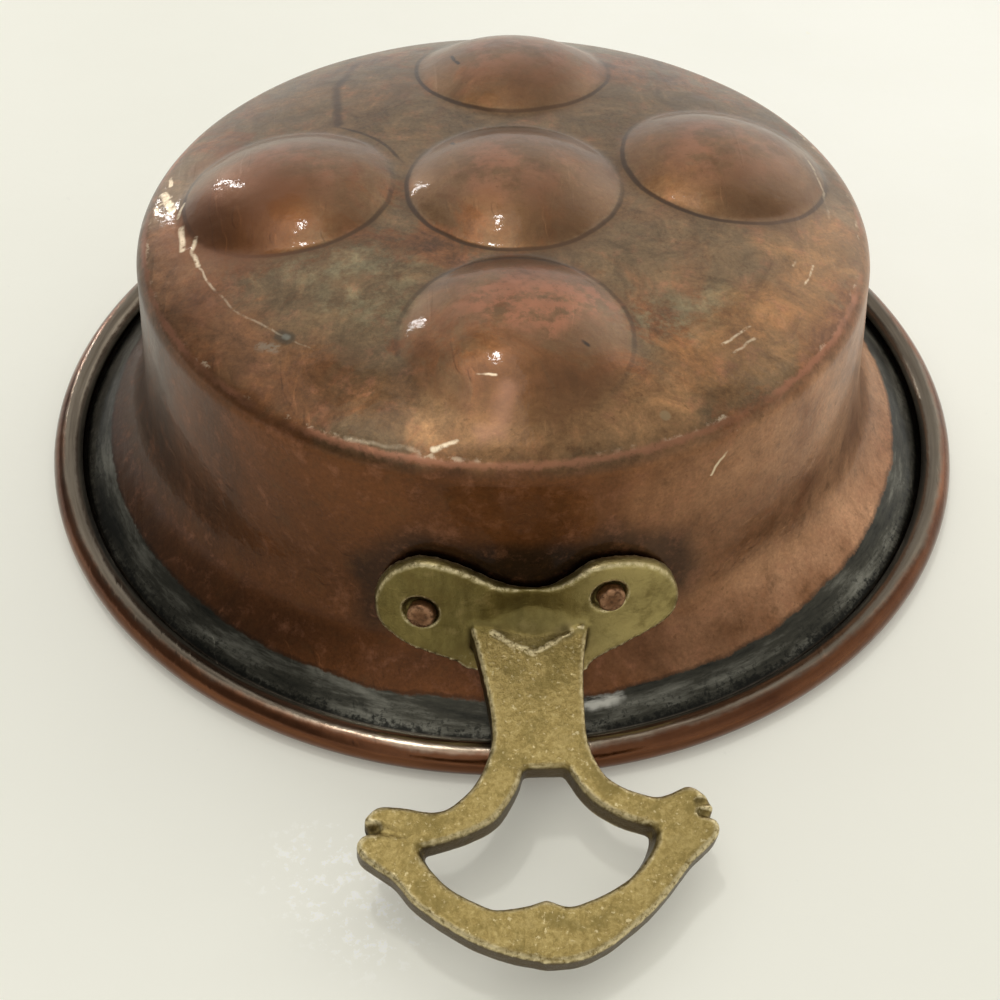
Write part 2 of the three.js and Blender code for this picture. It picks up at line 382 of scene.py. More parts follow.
class Shader(Tree):
    """One material's node tree.

    A large tree takes its points from the mesh attribute that held_place names. The renderer then
    works through the tree in order, and does not run out of room for what is still to be used.
    """

    def __init__(self, name: str, held_place: str = "") -> None:
        """Starts the tree with a Principled surface and its coordinates.

        Args:
            name: The material's name.
            held_place: Mesh attribute with each vertex's place, or nothing for Object coordinates.
        """
        self.material = bpy.data.materials.new(name)
        self.material.use_nodes = True
        super().__init__(self.material.node_tree)
        self.surface = self.tree.nodes["Principled BSDF"]
        self.place = self.node("ShaderNodeTexCoord").outputs["Object"]
        self.point = whole = self.place
        if held_place:
            held = self.node("ShaderNodeAttribute", attribute_name=held_place)
            self.point, whole = held.outputs["Vector"], held.outputs["Color"]
        split = self.node("ShaderNodeSeparateXYZ")
        self.feed(split.inputs[0], whole)
        self.axes = split.outputs

    def noise(self, size: float, detail: float = 4.0, rough: float = 0.55, warp: float = 0.0,
              stretch: Point | None = None, turn: float = 0.0, seed: float = 0.0,
              place: Socket | None = None) -> Socket:
        """Noise in 0 to 1 on Object coordinates, or on others that follow from them.

        Args:
            size: Width of a patch, in metres.
            detail: Octaves.
            rough: Weight of the finer octaves.
            warp: Distortion.
            stretch: Scale of each axis, where the patches are longer one way.
            turn: Turn about Z of a stretched pattern, in radians.
            seed: Shift that makes this noise its own.
            place: Coordinates to use.

        Returns:
            The noise's factor.
        """
        place = place or self.place
        if stretch or seed:
            mapping = self.node("ShaderNodeMapping", vector_type="POINT")
            self.feed(mapping.inputs["Vector"], place)
            mapping.inputs["Location"].default_value = (seed, seed * 0.7, -seed)
            mapping.inputs["Rotation"].default_value = (0.0, 0.0, turn)
            mapping.inputs["Scale"].default_value = stretch or (1.0, 1.0, 1.0)
            place = mapping.outputs["Vector"]
        made = self.node("ShaderNodeTexNoise")
        self.feed(made.inputs["Vector"], place)
        made.inputs["Scale"].default_value = 1.0 / size
        made.inputs["Detail"].default_value = detail
        made.inputs["Roughness"].default_value = rough
        made.inputs["Distortion"].default_value = warp
        return made.outputs[0]

    def shaken(self, size: float, reach: float, detail: float = 2.0) -> Socket:
        """Points pushed about by noise, so that what is drawn on them wavers.

        Args:
            size: Width of a swerve.
            reach: How far a point may be pushed.
            detail: Octaves of the swerves.

        Returns:
            The coordinates.
        """
        made = self.node("ShaderNodeTexNoise")
        self.feed(made.inputs["Vector"], self.place)
        made.inputs["Scale"].default_value = 1.0 / size
        made.inputs["Detail"].default_value = detail
        split = self.node("ShaderNodeSeparateColor")
        self.feed(split.inputs[0], made.outputs["Color"])
        whole = self.node("ShaderNodeCombineXYZ")
        for target, source in zip(whole.inputs, split.outputs):
            self.feed(target, source)
        off = self.vector("SUBTRACT", whole.outputs[0], (0.5, 0.5, 0.5))
        return self.vector("ADD", self.point, self.vector("MULTIPLY", off, (reach * 2,) * 3))

    def ramp(self, value: Factor, stops: Sequence[Stop]) -> Socket:
        """Colour that runs through the stops.

        Args:
            value: Place on the ramp, 0 to 1.
            stops: Place and colour of each stop.

        Returns:
            The colour.
        """
        made = self.node("ShaderNodeValToRGB")
        self.feed(made.inputs["Fac"], value)
        elements = made.color_ramp.elements
        while len(elements) < len(stops):
            elements.new(0.5)
        for element, (position, colour) in zip(elements, stops):
            element.position = position
            element.color = (*colour, 1.0)
        return made.outputs["Color"]

    def blend(self, amount: Factor, below: object, above: object, kind: str = "MIX") -> Socket:
        """One colour laid over another.

        Args:
            amount: How much of the upper one shows.
            below: The lower colour.
            above: The upper colour.
            kind: How they mix.

        Returns:
            The mixed colour.
        """
        made = self.node("ShaderNodeMix", data_type="RGBA", blend_type=kind)
        self.feed(made.inputs["Factor"], amount)
        self.feed(made.inputs["A"], below)
        self.feed(made.inputs["B"], above)
        return made.outputs["Result"]

    def attribute(self, name: str) -> Socket:
        """Number that the mesh holds at each vertex."""
        return self.node("ShaderNodeAttribute", attribute_name=name).outputs["Fac"]

    def stroke(self, start: Point, end: Point, half: float, soft: float,
               place: Socket | None = None) -> Socket:
        """Mask of a straight mark on the surface.

        Args:
            start: One end of the mark.
            end: Its other end.
            half: Half width of its full strength.
            soft: Width over which it fades.
            place: Coordinates to draw on.

        Returns:
            The mask, 1 on the mark.
        """
        run = Vector(end) - Vector(start)
        from_start = self.vector("SUBTRACT", place or self.point, tuple(start))
        share = self.vector("DOT_PRODUCT", from_start, tuple(run / run.length_squared))
        share = self.math("MINIMUM", self.math("MAXIMUM", share, 0.0), 1.0)
        along = self.node("ShaderNodeVectorMath", operation="SCALE")
        along.inputs[0].default_value = tuple(run)
        self.feed(along.inputs["Scale"], share)
        gap = self.vector("LENGTH", self.vector("SUBTRACT", from_start, along.outputs["Vector"]))
        return self.step(gap, half + soft, half)

    def line(self, points: Sequence[Point], half: float, soft: float,
             place: Socket | None = None) -> Socket:
        """Mask of a mark through several points.

        Args:
            points: The mark's points.
            half: Half width of its full strength.
            soft: Width over which it fades.
            place: Coordinates to draw on.

        Returns:
            The mask, 1 on the mark.
        """
        masks = [self.stroke(start, end, half, soft, place) for start, end in zip(points, points[1:])]
        whole = masks[0]
        for mask in masks[1:]:
            whole = self.math("MAXIMUM", whole, mask)
        return whole

    def marked(self, colour: Socket, marks: Iterable[Mark], place: Socket | None = None,
               *masks: Factor) -> Socket:
        """Lays marks over a colour, one after another.

        Args:
            colour: What lies below.
            marks: The marks.
            place: Coordinates to draw on.
            masks: Masks that break up every mark.

        Returns:
            The colour with its marks.
        """
        for mark in marks:
            line = self.line(mark.points, mark.half, mark.soft, place)
            colour = self.blend(self.times(line, *masks, mark.strength), colour, mark.tint)
        return colour

    def relief(self, height: Factor, depth: float, under: Socket | None = None) -> Socket:
        """Normal of a bumpy surface.

        Args:
            height: Height of the relief, 0 to 1.
            depth: Height that 1 stands for, in metres.
            under: Normal of the coarser relief below.

        Returns:
            The normal.
        """
        made = self.node("ShaderNodeBump")
        made.inputs["Strength"].default_value = 1.0
        made.inputs["Distance"].default_value = depth
        self.feed(made.inputs["Height"], height)
        if under is not None:
            self.feed(made.inputs["Normal"], under)
        return made.outputs["Normal"]

    def finish(self, colour: object, rough: Factor, metal: float, normal: Socket) -> Material:
        """Feeds the surface and gives the finished material.

        Args:
            colour: Base colour.
            rough: Roughness.
            metal: Share of metal.
            normal: The relief's normal.

        Returns:
            The material.
        """
        self.feed(self.surface.inputs["Base Color"], colour)
        self.feed(self.surface.inputs["Roughness"], rough)
        self.surface.inputs["Metallic"].default_value = metal
        self.feed(self.surface.inputs["Normal"], normal)
        return self.material


@dataclass
class PanForm:
    """Shape of the copper sheet: crowned base, pressed wells, wall, flare and curl."""

    height: float = 0.0535
    rim_radius: float = 0.085
    base_radius: float = 0.0632
    thickness: float = 0.0012
    crown_drop: float = 0.0074
    crown_power: float = 3.8
    corner_cut: float = 0.0024
    wall_lean: float = math.radians(6.0)
    wall_lead: float = 0.030
    flare_angle: float = math.radians(33.0)
    flare_lead: float = 0.016
    flare_run: float = 0.0049
    bead_radius: float = 0.00275
    rim_wear: float = 0.0001
    curl_end: float = math.radians(165.0)
    well_radius: float = 0.0182
    well_rise: float = 0.0052
    well_places: tuple[Pair, ...] = (
        (0.04, -10.0), (0.97, 84.0), (0.87, 176.0), (0.94, 10.0), (0.92, -91.0),
    )
    tin_thickness: float = 0.0004
    crease: float = 0.0003
    front_crease: float = 0.0024
    front_fade: Pair = (0.004, -0.012)
    dent_depth: float = 0.00035
    dent_swells: tuple[tuple[float, float, float], ...] = ((0.32, 0.030, 3.1), (0.18, 0.013, 8.7))
    calm_radii: Pair = (0.064, 0.074)
    base_heights: Pair = (0.040, 0.047)
    base_fade: Pair = (-0.0008, 0.0004)
    sphere: float = field(init=False)
    wells: list[tuple[Vector, float]] = field(init=False)
    wall: list[Vector] = field(init=False)

    def __post_init__(self) -> None:
        """Works out the wells' spheres and the wall's run."""
        self.sphere = (self.well_radius**2 + self.well_rise**2) / (2 * self.well_rise)
        self.wells = [self.well_sphere(share, math.radians(turn)) for share, turn in self.well_places]
        self.wall = self.wall_run(44)

    def crown(self, radius: float) -> float:
        """Height of the base's outside, without its wells."""
        return self.height - self.crown_drop * (radius / self.base_radius) ** self.crown_power

    def well_sphere(self, share: float, turn: float) -> tuple[Vector, float]:
        """Centre of the sphere that a well is part of, and the well's ring radius.

        Args:
            share: Distance of the well from the axis, as a share of the room that it has.
            turn: Its direction from the axis, in radians.

        Returns:
            The centre and the radius.
        """
        room = self.base_radius - self.corner_cut - self.well_radius
        ring = share * room
        low = self.crown(ring + self.well_radius)
        high = self.crown(abs(ring - self.well_radius))
        aside = self.crown(math.hypot(ring, self.well_radius))
        sag = self.crown(ring) - (low + high + 2 * aside) / 4
        tilt = math.atan2(high - low, 2 * self.well_radius) * min(1.0, ring / self.well_radius)
        depth = self.sphere - self.well_rise + sag
        radial = ring - depth * math.sin(tilt)
        centre = Vector((radial * math.cos(turn), radial * math.sin(turn), 0.0)) + AXIS
        centre.z = self.crown(ring) - depth * math.cos(tilt)
        return centre, ring

    def rise(self, place: Vector) -> float:
        """How far a pressed well lifts the base at a place.

        Args:
            place: A point of the sheet.

        Returns:
            The lift, eased at the well's edge.
        """
        flat = self.crown(off_axis(place))
        lift = -1.0
        for centre, _ in self.wells:
            room = self.sphere**2 - (place.x - centre.x) ** 2 - (place.y - centre.y) ** 2
            if room > 0:
                lift = max(lift, centre.z + math.sqrt(room) - flat)
        front = self.wells[-1][0].y
        below = smoothstep(*(front + each for each in self.front_fade), place.y)
        below *= abs(place.x) < 2 * self.well_radius
        soft = self.crease + (self.front_crease - self.crease) * below
        return (lift + math.sqrt(lift * lift + soft * soft)) / 2

    def wall_run(self, steps: int) -> list[Vector]:
        """Outside of the wall, from under the corner to the flare, as radius and height.

        Args:
            steps: Number of steps.

        Returns:
            The points.
        """
        edge = Vector((self.base_radius, self.crown(self.base_radius)))
        down = Vector((math.sin(self.wall_lean), -math.cos(self.wall_lean)))
        out = Vector((math.cos(self.flare_angle), -math.sin(self.flare_angle)))
        top = edge + down * self.corner_cut
        foot = self.curl_start() - out * self.flare_run
        return bezier([top, top + down * self.wall_lead, foot - out * self.flare_lead, foot], steps)

    def curl_centre(self) -> Vector:
        """Middle of the rim's bead, as radius and height."""
        return Vector((self.rim_radius - self.bead_radius, self.bead_radius - self.rim_wear))

    def curl_start(self) -> Vector:
        """Where the flare turns into the curl."""
        side = Vector((-math.sin(self.flare_angle), -math.cos(self.flare_angle)))
        return self.curl_centre() + side * (self.bead_radius - self.thickness)

    def wall_radius(self, height: float) -> float:
        """Radius of the wall's outside at a height.

        Args:
            height: The height.

        Returns:
            The radius.
        """
        for above, below in zip(self.wall, self.wall[1:]):
            if below.y <= height:
                return above.lerp(below, (above.y - height) / (above.y - below.y)).x
        return self.wall[-1].x

    def on_wall(self, across: float, height: float) -> Vector:
        """Point of the wall's outside, seen from the handle's side."""
        radius = self.wall_radius(height)
        return AXIS + Vector((across, -math.sqrt(radius * radius - across * across), height))

    def bowl(self, crown_steps: int, corner_steps: int) -> list[Vector]:
        """Outside of the sheet from the axis down to the flare, as radius and height.

        Args:
            crown_steps: Steps from the axis to the corner.
            corner_steps: Steps round the corner.

        Returns:
            The points.
        """
        reach = self.base_radius - self.corner_cut
        radii = [reach * i / crown_steps for i in range(crown_steps + 1)]
        crown = [Vector((radius, self.crown(radius))) for radius in radii]
        edge = Vector((self.base_radius, self.crown(self.base_radius)))
        corner = bezier([crown[-1], edge, self.wall[0]], corner_steps)
        return crown + corner[1:] + self.wall[1:]

    def inset(self, run: Sequence[Vector], distance: float) -> list[Vector]:
        """Run moved square to itself, into the pan.

        Args:
            run: Radius and height of each point.
            distance: How far to move it.

        Returns:
            The moved points.
        """
        moved = []
        for i, here in enumerate(run):
            along = (run[min(i + 1, len(run) - 1)] - run[max(i - 1, 0)]).normalized()
            side = Vector((0.0, -1.0)) if i == 0 else Vector((along.y, -along.x))
            moved.append(here + side * distance)
        return moved

    def curl(self, radius: float, steps: int) -> list[Vector]:
        """Arc of the rim's curl at a radius from its middle.

        Args:
            radius: The radius.
            steps: Number of steps.

        Returns:
            The points, none of them under the table.
        """
        start = -math.pi / 2 - self.flare_angle
        turns = [start + (self.curl_end - start) * i / steps for i in range(steps + 1)]
        run = [self.curl_centre() + Vector((math.cos(t), math.sin(t))) * radius for t in turns]
        return [Vector((each.x, max(each.y, 0.0))) for each in run]

    def sway(self, place: Vector) -> Vector:
        """Hand-worked unevenness at a point of the sheet: it only goes inwards.

        Args:
            place: The point.

        Returns:
            How far the point moves.
        """
        flat = Vector((place.x - AXIS.x, place.y - AXIS.y, 0.0))
        calm = 1.0 - smoothstep(*self.calm_radii, flat.length)
        depth = 0.5 + sum(share * ripple(place, size, seed) for share, size, seed in self.dent_swells)
        on_top = smoothstep(*self.base_heights, place.z)
        inwards = -flat.normalized() * (1.0 - on_top) if flat.length > 0 else Vector()
        return (inwards - UPWARDS * on_top) * (self.dent_depth * depth * calm)

    def on_base(self, place: Vector) -> float:
        """1 on the base inside the corner, 0 on the wall.

        Args:
            place: A point of the sheet.

        Returns:
            The share.
        """
        reach = self.base_radius - self.corner_cut
        inside = 1.0 - smoothstep(*(reach + each for each in self.base_fade), off_axis(place))
        return inside if place.z > self.base_heights[0] else 0.0

    def pressed(self, run: Sequence[Vector], steps: int) -> BMesh:
        """Sheet turned from a run of radii and heights, with its wells and unevenness put in.

        Args:
            run: Radius and height of each point.
            steps: Steps of the full turn.

        Returns:
            The sheet.
        """
        sheet = turned(run, steps, AXIS)
        for vert in sheet.verts:
            lift = self.rise(vert.co) * self.on_base(vert.co)
            vert.co = vert.co + UPWARDS * lift + self.sway(vert.co)
        return sheet


@dataclass
class PanBody:
    """The copper sheet and the tin inside it."""

    form: PanForm
    around: int = 360
    tin_around: int = 240

    def shell(self) -> Piece:
        """The copper sheet, from the base to the curl round the wire."""
        form = self.form
        outside = form.bowl(68, 8)
        inside = form.inset(form.bowl(20, 3)[::2], form.thickness)
        inner_curl = form.curl(form.bead_radius - form.thickness, 18)
        outer_curl = form.curl(form.bead_radius, 40)
        sheet = form.pressed(outside + inner_curl + outer_curl[::-1] + inside[::-1], self.around)
        held = sheet.verts.layers.float_vector.new(PLACE)
        for vert in sheet.verts:
            vert[held] = vert.co
        return piece_from(sheet, "copper_sheet")

    def lining(self) -> Piece:
        """The tin wiped over the inside."""
        form = self.form
        near = form.thickness + CLEARANCE
        outside = form.inset(form.bowl(30, 3)[::2], near)
        inside = form.inset(form.bowl(56, 6), near + form.tin_thickness)
        return piece_from(form.pressed(outside + inside[::-1], self.tin_around), "wiped_tin")


@dataclass
class HandleForm:
    """The cast handle's outlines, as shares of its own sizes."""

    pan: PanForm
    plate_thickness: float = 0.0024
    plate_half_width: float = 0.0243
    plate_height: float = 0.0184
    plate_foot: float = 0.0112
    stem_height: float = 0.0184
    stem_half_width: float = 0.007
    loop_half_width: float = 0.025
    loop_length: float = 0.036
    bar_thickness: float = 0.0046
    top_edge: float = 0.0008
    lower_edge: float = 0.0010
    edge_steps: int = 4
    slope: float = math.radians(9.0)
    twist: float = math.radians(-3.0)
    opening_draft: float = 0.92
    voxel: float = 0.00036
    plate_shares: tuple[Pair, ...] = (
        (-0.35, -0.06), (-0.48, -0.01), (-0.7, 0.03), (-0.86, 0.09), (-0.97, 0.21), (-1.0, 0.38),
        (-0.98, 0.56), (-0.9, 0.78), (-0.78, 0.93), (-0.66, 0.98), (-0.52, 0.96), (-0.39, 0.9),
        (-0.19, 0.77), (0.0, 0.72), (0.13, 0.76), (0.24, 0.86), (0.31, 0.94), (0.41, 1.0),
        (0.58, 0.99), (0.75, 0.91), (0.88, 0.77), (0.97, 0.55), (0.98, 0.38), (0.93, 0.27),
        (0.8, 0.19), (0.57, 0.09), (0.41, 0.01), (0.33, -0.05),
    )
    stem_left: tuple[Pair, ...] = ((-1.3, -0.1), (-1.08, 0.4), (-0.93, 0.9))
    stem_right: tuple[Pair, ...] = ((0.9, 0.95), (0.98, 0.45), (1.16, 0.04), (1.3, -0.1))
    left_horn: tuple[Pair, ...] = (
        (-0.27, 0.11), (-0.37, 0.27), (-0.53, 0.38), (-0.66, 0.41), (-0.82, 0.39), (-0.95, 0.38),
        (-1.0, 0.4), (-1.02, 0.43), (-0.88, 0.47),
    )
    bow: tuple[Pair, ...] = (
        (-0.88, 0.47), (-1.05, 0.5), (-1.06, 0.55), (-0.98, 0.6), (-0.87, 0.66), (-0.77, 0.75),
        (-0.63, 0.83), (-0.45, 0.91), (-0.28, 0.96), (-0.12, 0.99), (-0.04, 1.0), (0.12, 0.99),
        (0.26, 0.95), (0.39, 0.89), (0.52, 0.82), (0.65, 0.73), (0.79, 0.62), (0.89, 0.56),
        (0.96, 0.51), (0.96, 0.47), (0.90, 0.435),
    )
    right_horn: tuple[Pair, ...] = (
        (0.90, 0.435), (0.95, 0.4), (0.91, 0.36), (0.85, 0.33), (0.8, 0.34), (0.73, 0.36),
        (0.64, 0.37), (0.5, 0.34), (0.4, 0.3), (0.32, 0.24), (0.26, 0.12),
    )
    opening: tuple[tuple[Pair, ...], ...] = (
        ((0.16, 0.19), (0.2, 0.24), (0.25, 0.3), (0.33, 0.36), (0.44, 0.41), (0.54, 0.44), (0.68, 0.47)),
        ((0.68, 0.47), (0.65, 0.55), (0.59, 0.62), (0.48, 0.7), (0.34, 0.76), (0.2, 0.8), (0.08, 0.82),
         (-0.05, 0.79)),
        ((-0.05, 0.79), (-0.15, 0.81), (-0.25, 0.82), (-0.36, 0.82), (-0.51, 0.77), (-0.62, 0.72),
         (-0.7, 0.66), (-0.76, 0.6), (-0.81, 0.53)),
        ((-0.81, 0.53), (-0.63, 0.5), (-0.49, 0.47), (-0.34, 0.42), (-0.25, 0.35), (-0.18, 0.27),
         (-0.14, 0.19)),
    )

    @property
    def root(self) -> float:
        """Distance from the pan's axis to the plate's front at the stem."""
        return self.pan.wall_radius(self.stem_height) + CLEARANCE + self.plate_thickness

    @property
    def reach(self) -> float:
        """Length of the stem, from the plate to the rim."""
        return (self.pan.rim_radius - self.root) / math.cos(self.slope)

    @property
    def frame(self) -> Matrix:
        """Frame of the stem and loop: X across, Y back to the pan, Z square to the loop."""
        place = Matrix.Translation(AXIS + Vector((0.0, -self.root, self.stem_height)))
        return place @ Matrix.Rotation(self.slope, 4, "X") @ Matrix.Rotation(-self.twist, 4, "Y")

    def on_stem(self, shares: Iterable[tuple[float, float]]) -> list[Vector]:
        """Points of the stem's outline."""
        return [Vector((a * self.stem_half_width, -b * self.reach)) for a, b in shares]

    def on_loop(self, shares: Iterable[tuple[float, float]]) -> list[Vector]:
        """Points of the loop's outline."""
        length, half = self.loop_length, self.loop_half_width
        return [Vector((a * half, -self.reach - b * length)) for a, b in shares]

    def loop_outline(self) -> list[Vector]:
        """Closed outline of stem, horns and bow."""
        left = self.on_stem(self.stem_left) + self.on_loop(self.left_horn)
        right = self.on_loop(self.right_horn) + self.on_stem(self.stem_right)
        return spline(left, 5) + spline(self.on_loop(self.bow), 5)[1:] + spline(right, 5)[1:]

    def opening_outline(self) -> list[Vector]:
        """Closed outline of the finger opening."""
        points = []
        for shares in self.opening:
            points += spline(self.on_loop(shares), 4)[(1 if points else 0):]
        return points

    def plate_outline(self) -> list[Vector]:
        """Closed outline of the plate, across and up, turned a little as the loop is."""
        turn = Matrix.Rotation(self.twist, 2)
        middle = self.plate_foot + self.plate_height / 2
        wings = [Vector((a * self.plate_half_width, (b - 0.5) * self.plate_height))
                 for a, b in self.plate_shares]
        run = spline([wings[-1], *wings, wings[0], wings[1]], 4)[4:-4]
        return [turn @ each + Vector((0.0, middle)) for each in run[:-1]]


def outwards(outline: Sequence[Vector]) -> list[Vector]:
    """Direction out of a closed flat outline at each of its points.

    Args:
        outline: The points in order.

    Returns:
        The directions.
    """
    ring = [*outline[-1:], *outline, *outline[:1]]
    area = sum(a.x * b.y - b.x * a.y for a, b in zip(ring[1:], ring[2:]))
    ways = []
    for before, after in zip(ring, ring[2:]):
        along = (after - before).normalized()
        ways.append(Vector((along.y, -along.x)) * math.copysign(1.0, area))
    return ways


@dataclass
class Handle:
    """One brass casting: winged plate, stem, loop and horns."""

    form: HandleForm
    ramp_top: float = 0.0226
    ramp_reach: float = 0.0048
    ramp_ear: float = 0.0007
    ramp_half: float = 1.18
    ramp_overlap: float = 0.0003
    ramp_sink: float = 0.0001
    ramp_fall: float = 0.0044
    ramp_body: Point = (0.0, 0.0014, -0.0018)
    hollow_depth: float = 0.0011
    plate_bevel: float = 0.0006
    plate_corner: float = 1.0
    plate_mesh: float = 0.002
    grain_depth: float = 0.00004
    wear_size: float = 0.0012
    notches: tuple[tuple[Pair, Pair, float], ...] = (
        ((-1.16, 0.440), (-1.00, 0.455), 0.0030),
        ((-0.98, 0.458), (-0.82, 0.490), 0.0004),
        ((1.06, 0.435), (0.90, 0.430), 0.0018),
        ((1.02, 0.375), (0.90, 0.385), 0.0012),
    )
    notch_half: float = 0.00100
    notch_taper: float = 0.5
    valley_depth: float = 0.0017
    valley_half: float = 0.0072
    valley_fade: Pair = (0.0028, 0.0062)
    valley_gain: float = 1.15
    valley_power: float = 1.3
    valley_foot: float = 0.0025
    ease_room: float = 0.0004
    ease_rounds: int = 9
    seat_lip: Pair = (-0.0003, 0.0004)
    seat_room: float = 0.004
    flank_run: Pair = (0.0005, -0.0015)

    def section(self) -> list[Pair]:
        """Drop and spread of each ring of the slab's side, from the top face to the underside."""
        form = self.form
        quarter = [math.pi / 2 * k / form.edge_steps for k in range(1, form.edge_steps + 1)]
        top = [(form.top_edge * (1 - math.cos(a)), form.top_edge * math.sin(a)) for a in quarter]
        low, depth = form.lower_edge, form.bar_thickness
        under = [(depth - low * (1 - math.sin(a)), form.top_edge - low * (1 - math.cos(a)))
                 for a in (0.0, *quarter)]
        return top + under

    def slab(self) -> BMesh:
        """Stem and loop in their own frame, with rounded edges and a drafted opening."""
        form = self.form
        outer, inner = form.loop_outline(), form.opening_outline()
        slab = filled(outer, inner)
        home = slab.verts.layers.int.new("home")
        for index, vert in enumerate(slab.verts):
            vert[home] = index
        starts = outer + inner
        ways = outwards(outer) + [-way for way in outwards(inner)]
        cap = list(slab.faces)
        for ring, (drop, spread) in enumerate(self.section()):
            verts, cap = extruded(slab, cap, ring == 0)
            for vert in verts:
                spot = starts[vert[home]] + ways[vert[home]] * spread
                draft = (1.0 - form.opening_draft) * drop / form.bar_thickness
                in_opening = vert[home] >= len(outer)
                vert.co = (spot.x * (1.0 - draft * in_opening), spot.y, -drop)
        bmesh.ops.recalc_face_normals(slab, faces=slab.faces)
        return slab

    def plate(self) -> BMesh:
        """The winged plate, flat: across, up and out."""
        plate = filled(self.form.plate_outline())
        front, _ = extruded(plate, list(plate.faces))
        bmesh.ops.translate(plate, verts=front, vec=UPWARDS * self.form.plate_thickness)
        bmesh.ops.recalc_face_normals(plate, faces=plate.faces)
        rim = [e for e in plate.edges
               if e.calc_face_angle(0.0) > self.plate_corner and all(v.co.z > 0.0 for v in e.verts)]
        bmesh.ops.bevel(plate, geom=rim, offset=self.plate_bevel, segments=3, profile=0.5, affect="EDGES",
                        clamp_overlap=True, material=-1)
        bmesh.ops.triangulate(plate, faces=plate.faces)
        while long_edges := [e for e in plate.edges if e.calc_length() > self.plate_mesh]:
            bmesh.ops.subdivide_edges(plate, edges=long_edges, cuts=1)
            bmesh.ops.triangulate(plate, faces=plate.faces)
        return plate

    def wrapped(self, place: Vector) -> Vector:
        """A point of the flat plate, laid on the wall.

        Args:
            place: Across, up and out on the flat plate.

        Returns:
            The point in place.
        """
        radius = self.form.pan.wall_radius(place.y) + CLEARANCE + place.z
        back = math.sqrt(radius * radius - place.x * place.x)
        return AXIS + Vector((place.x, -back, place.y))

    def ramp_point(self, across: float, down: float) -> Vector:
        """Point of the hollow ramp between plate and stem.

        Args:
            across: Share of the stem's half width.
            down: 0 at the plate's dip, 1 at the V on the stem.

        Returns:
            The point in place.
        """
        form = self.form
        side = min(1.0, abs(across))
        reach = self.ramp_reach - (self.ramp_reach - self.ramp_ear) * side**1.2
        foot = form.stem_height - math.tan(form.slope) * reach + self.ramp_sink
        top = self.ramp_top - self.ramp_fall * side**1.6
        turn = down * math.pi / 2
        start = form.root - self.ramp_overlap
        out = start + (reach + self.ramp_overlap) * (1.0 - math.cos(turn))
        up = top - (top - foot) * math.sin(turn)
        up -= self.hollow_depth * smoothstep(0.25, 0.7, down) * smoothstep(1.0, 0.93, down) * (1.0 - side**2)
        return AXIS + Vector((across * form.stem_half_width, -out, up))

    def gusset(self) -> BMesh:
        """Hollow ramp that runs from the plate's dip down onto the stem and ends in a V."""
        ramp = bmesh.new()
        bmesh.ops.create_grid(ramp, x_segments=36, y_segments=24, size=1.0)
        for vert in ramp.verts:
            vert.co = self.ramp_point(vert.co.x * self.ramp_half, (1.0 - vert.co.y) / 2)
        low, _ = extruded(ramp, list(ramp.faces))
        bmesh.ops.translate(ramp, verts=low, vec=self.ramp_body)
        bmesh.ops.recalc_face_normals(ramp, faces=ramp.faces)
        return ramp

    def rough_casting(self) -> Piece:
        """Plate, gusset, stem and loop in place, still as overlapping solids."""
        slab, plate, wedge = self.slab(), self.plate(), self.gusset()
        bmesh.ops.transform(slab, matrix=self.form.frame, verts=slab.verts)
        for vert in plate.verts:
            vert.co = self.wrapped(vert.co)
        together = bpy.data.meshes.new("casting")
        whole = bmesh.new()
        for part in (slab, plate, wedge):
            part.to_mesh(together)
            whole.from_mesh(together)
            part.free()
        return piece_from(whole, "brass_handle")

    def build(self, bores: Sequence[tuple[Matrix, float, float]]) -> Piece:
        """The finished casting.

        Args:
            bores: Frame, radius and floor of each rivet's seat in the plate's front.

        Returns:
            The handle.
        """
        casting = self.rough_casting()
        skin = casting.modifiers.new("skin", "REMESH")
        skin.mode = "VOXEL"
        skin.voxel_size = self.form.voxel
        baked(casting)
        shape = bmesh.new()
        shape.from_mesh(casting.data)
        self.keep_off_wall(shape)
        self.sink_valley(shape)
        self.ease_plate(shape)
        self.sink_bores(shape, bores)
        self.carve_notches(shape)
        smoothed(shape, shape.verts, 1)
        self.grain(shape)
        mark_edges(shape, self.wear_size)
        self.mark_flanks(shape)
        shape.to_mesh(casting.data)
        shape.free()
        return casting

    def keep_off_wall(self, shape: BMesh) -> None:
        """Moves what would reach into the wall back out to the plate's rear face.

        Args:
            shape: The casting in place.
        """
        for vert in shape.verts:
            flat = Vector((vert.co.x - AXIS.x, vert.co.y - AXIS.y, 0.0))
            least = self.form.pan.wall_radius(vert.co.z) + CLEARANCE
            if flat.length < least:
                vert.co += flat.normalized() * (least - flat.length)

    def sink_bores(self, shape: BMesh, bores: Sequence[tuple[Matrix, float, float]]) -> None:
        """Presses a round seat into the plate's front at each rivet.

        Args:
            shape: The casting in place.
            bores: Frame, radius and floor of each seat.
        """
        for place, radius, floor in bores:
            back = place.inverted()
            low, high = (radius + each for each in self.seat_lip)
            for vert in shape.verts:
                local = back @ vert.co
                aside = math.hypot(local.x, local.y)
                if aside < high and floor < local.z < floor + self.seat_room:
                    deep = 1.0 - smoothstep(low, high, aside)
                    local.z += (floor - local.z) * deep
                    vert.co = place @ local

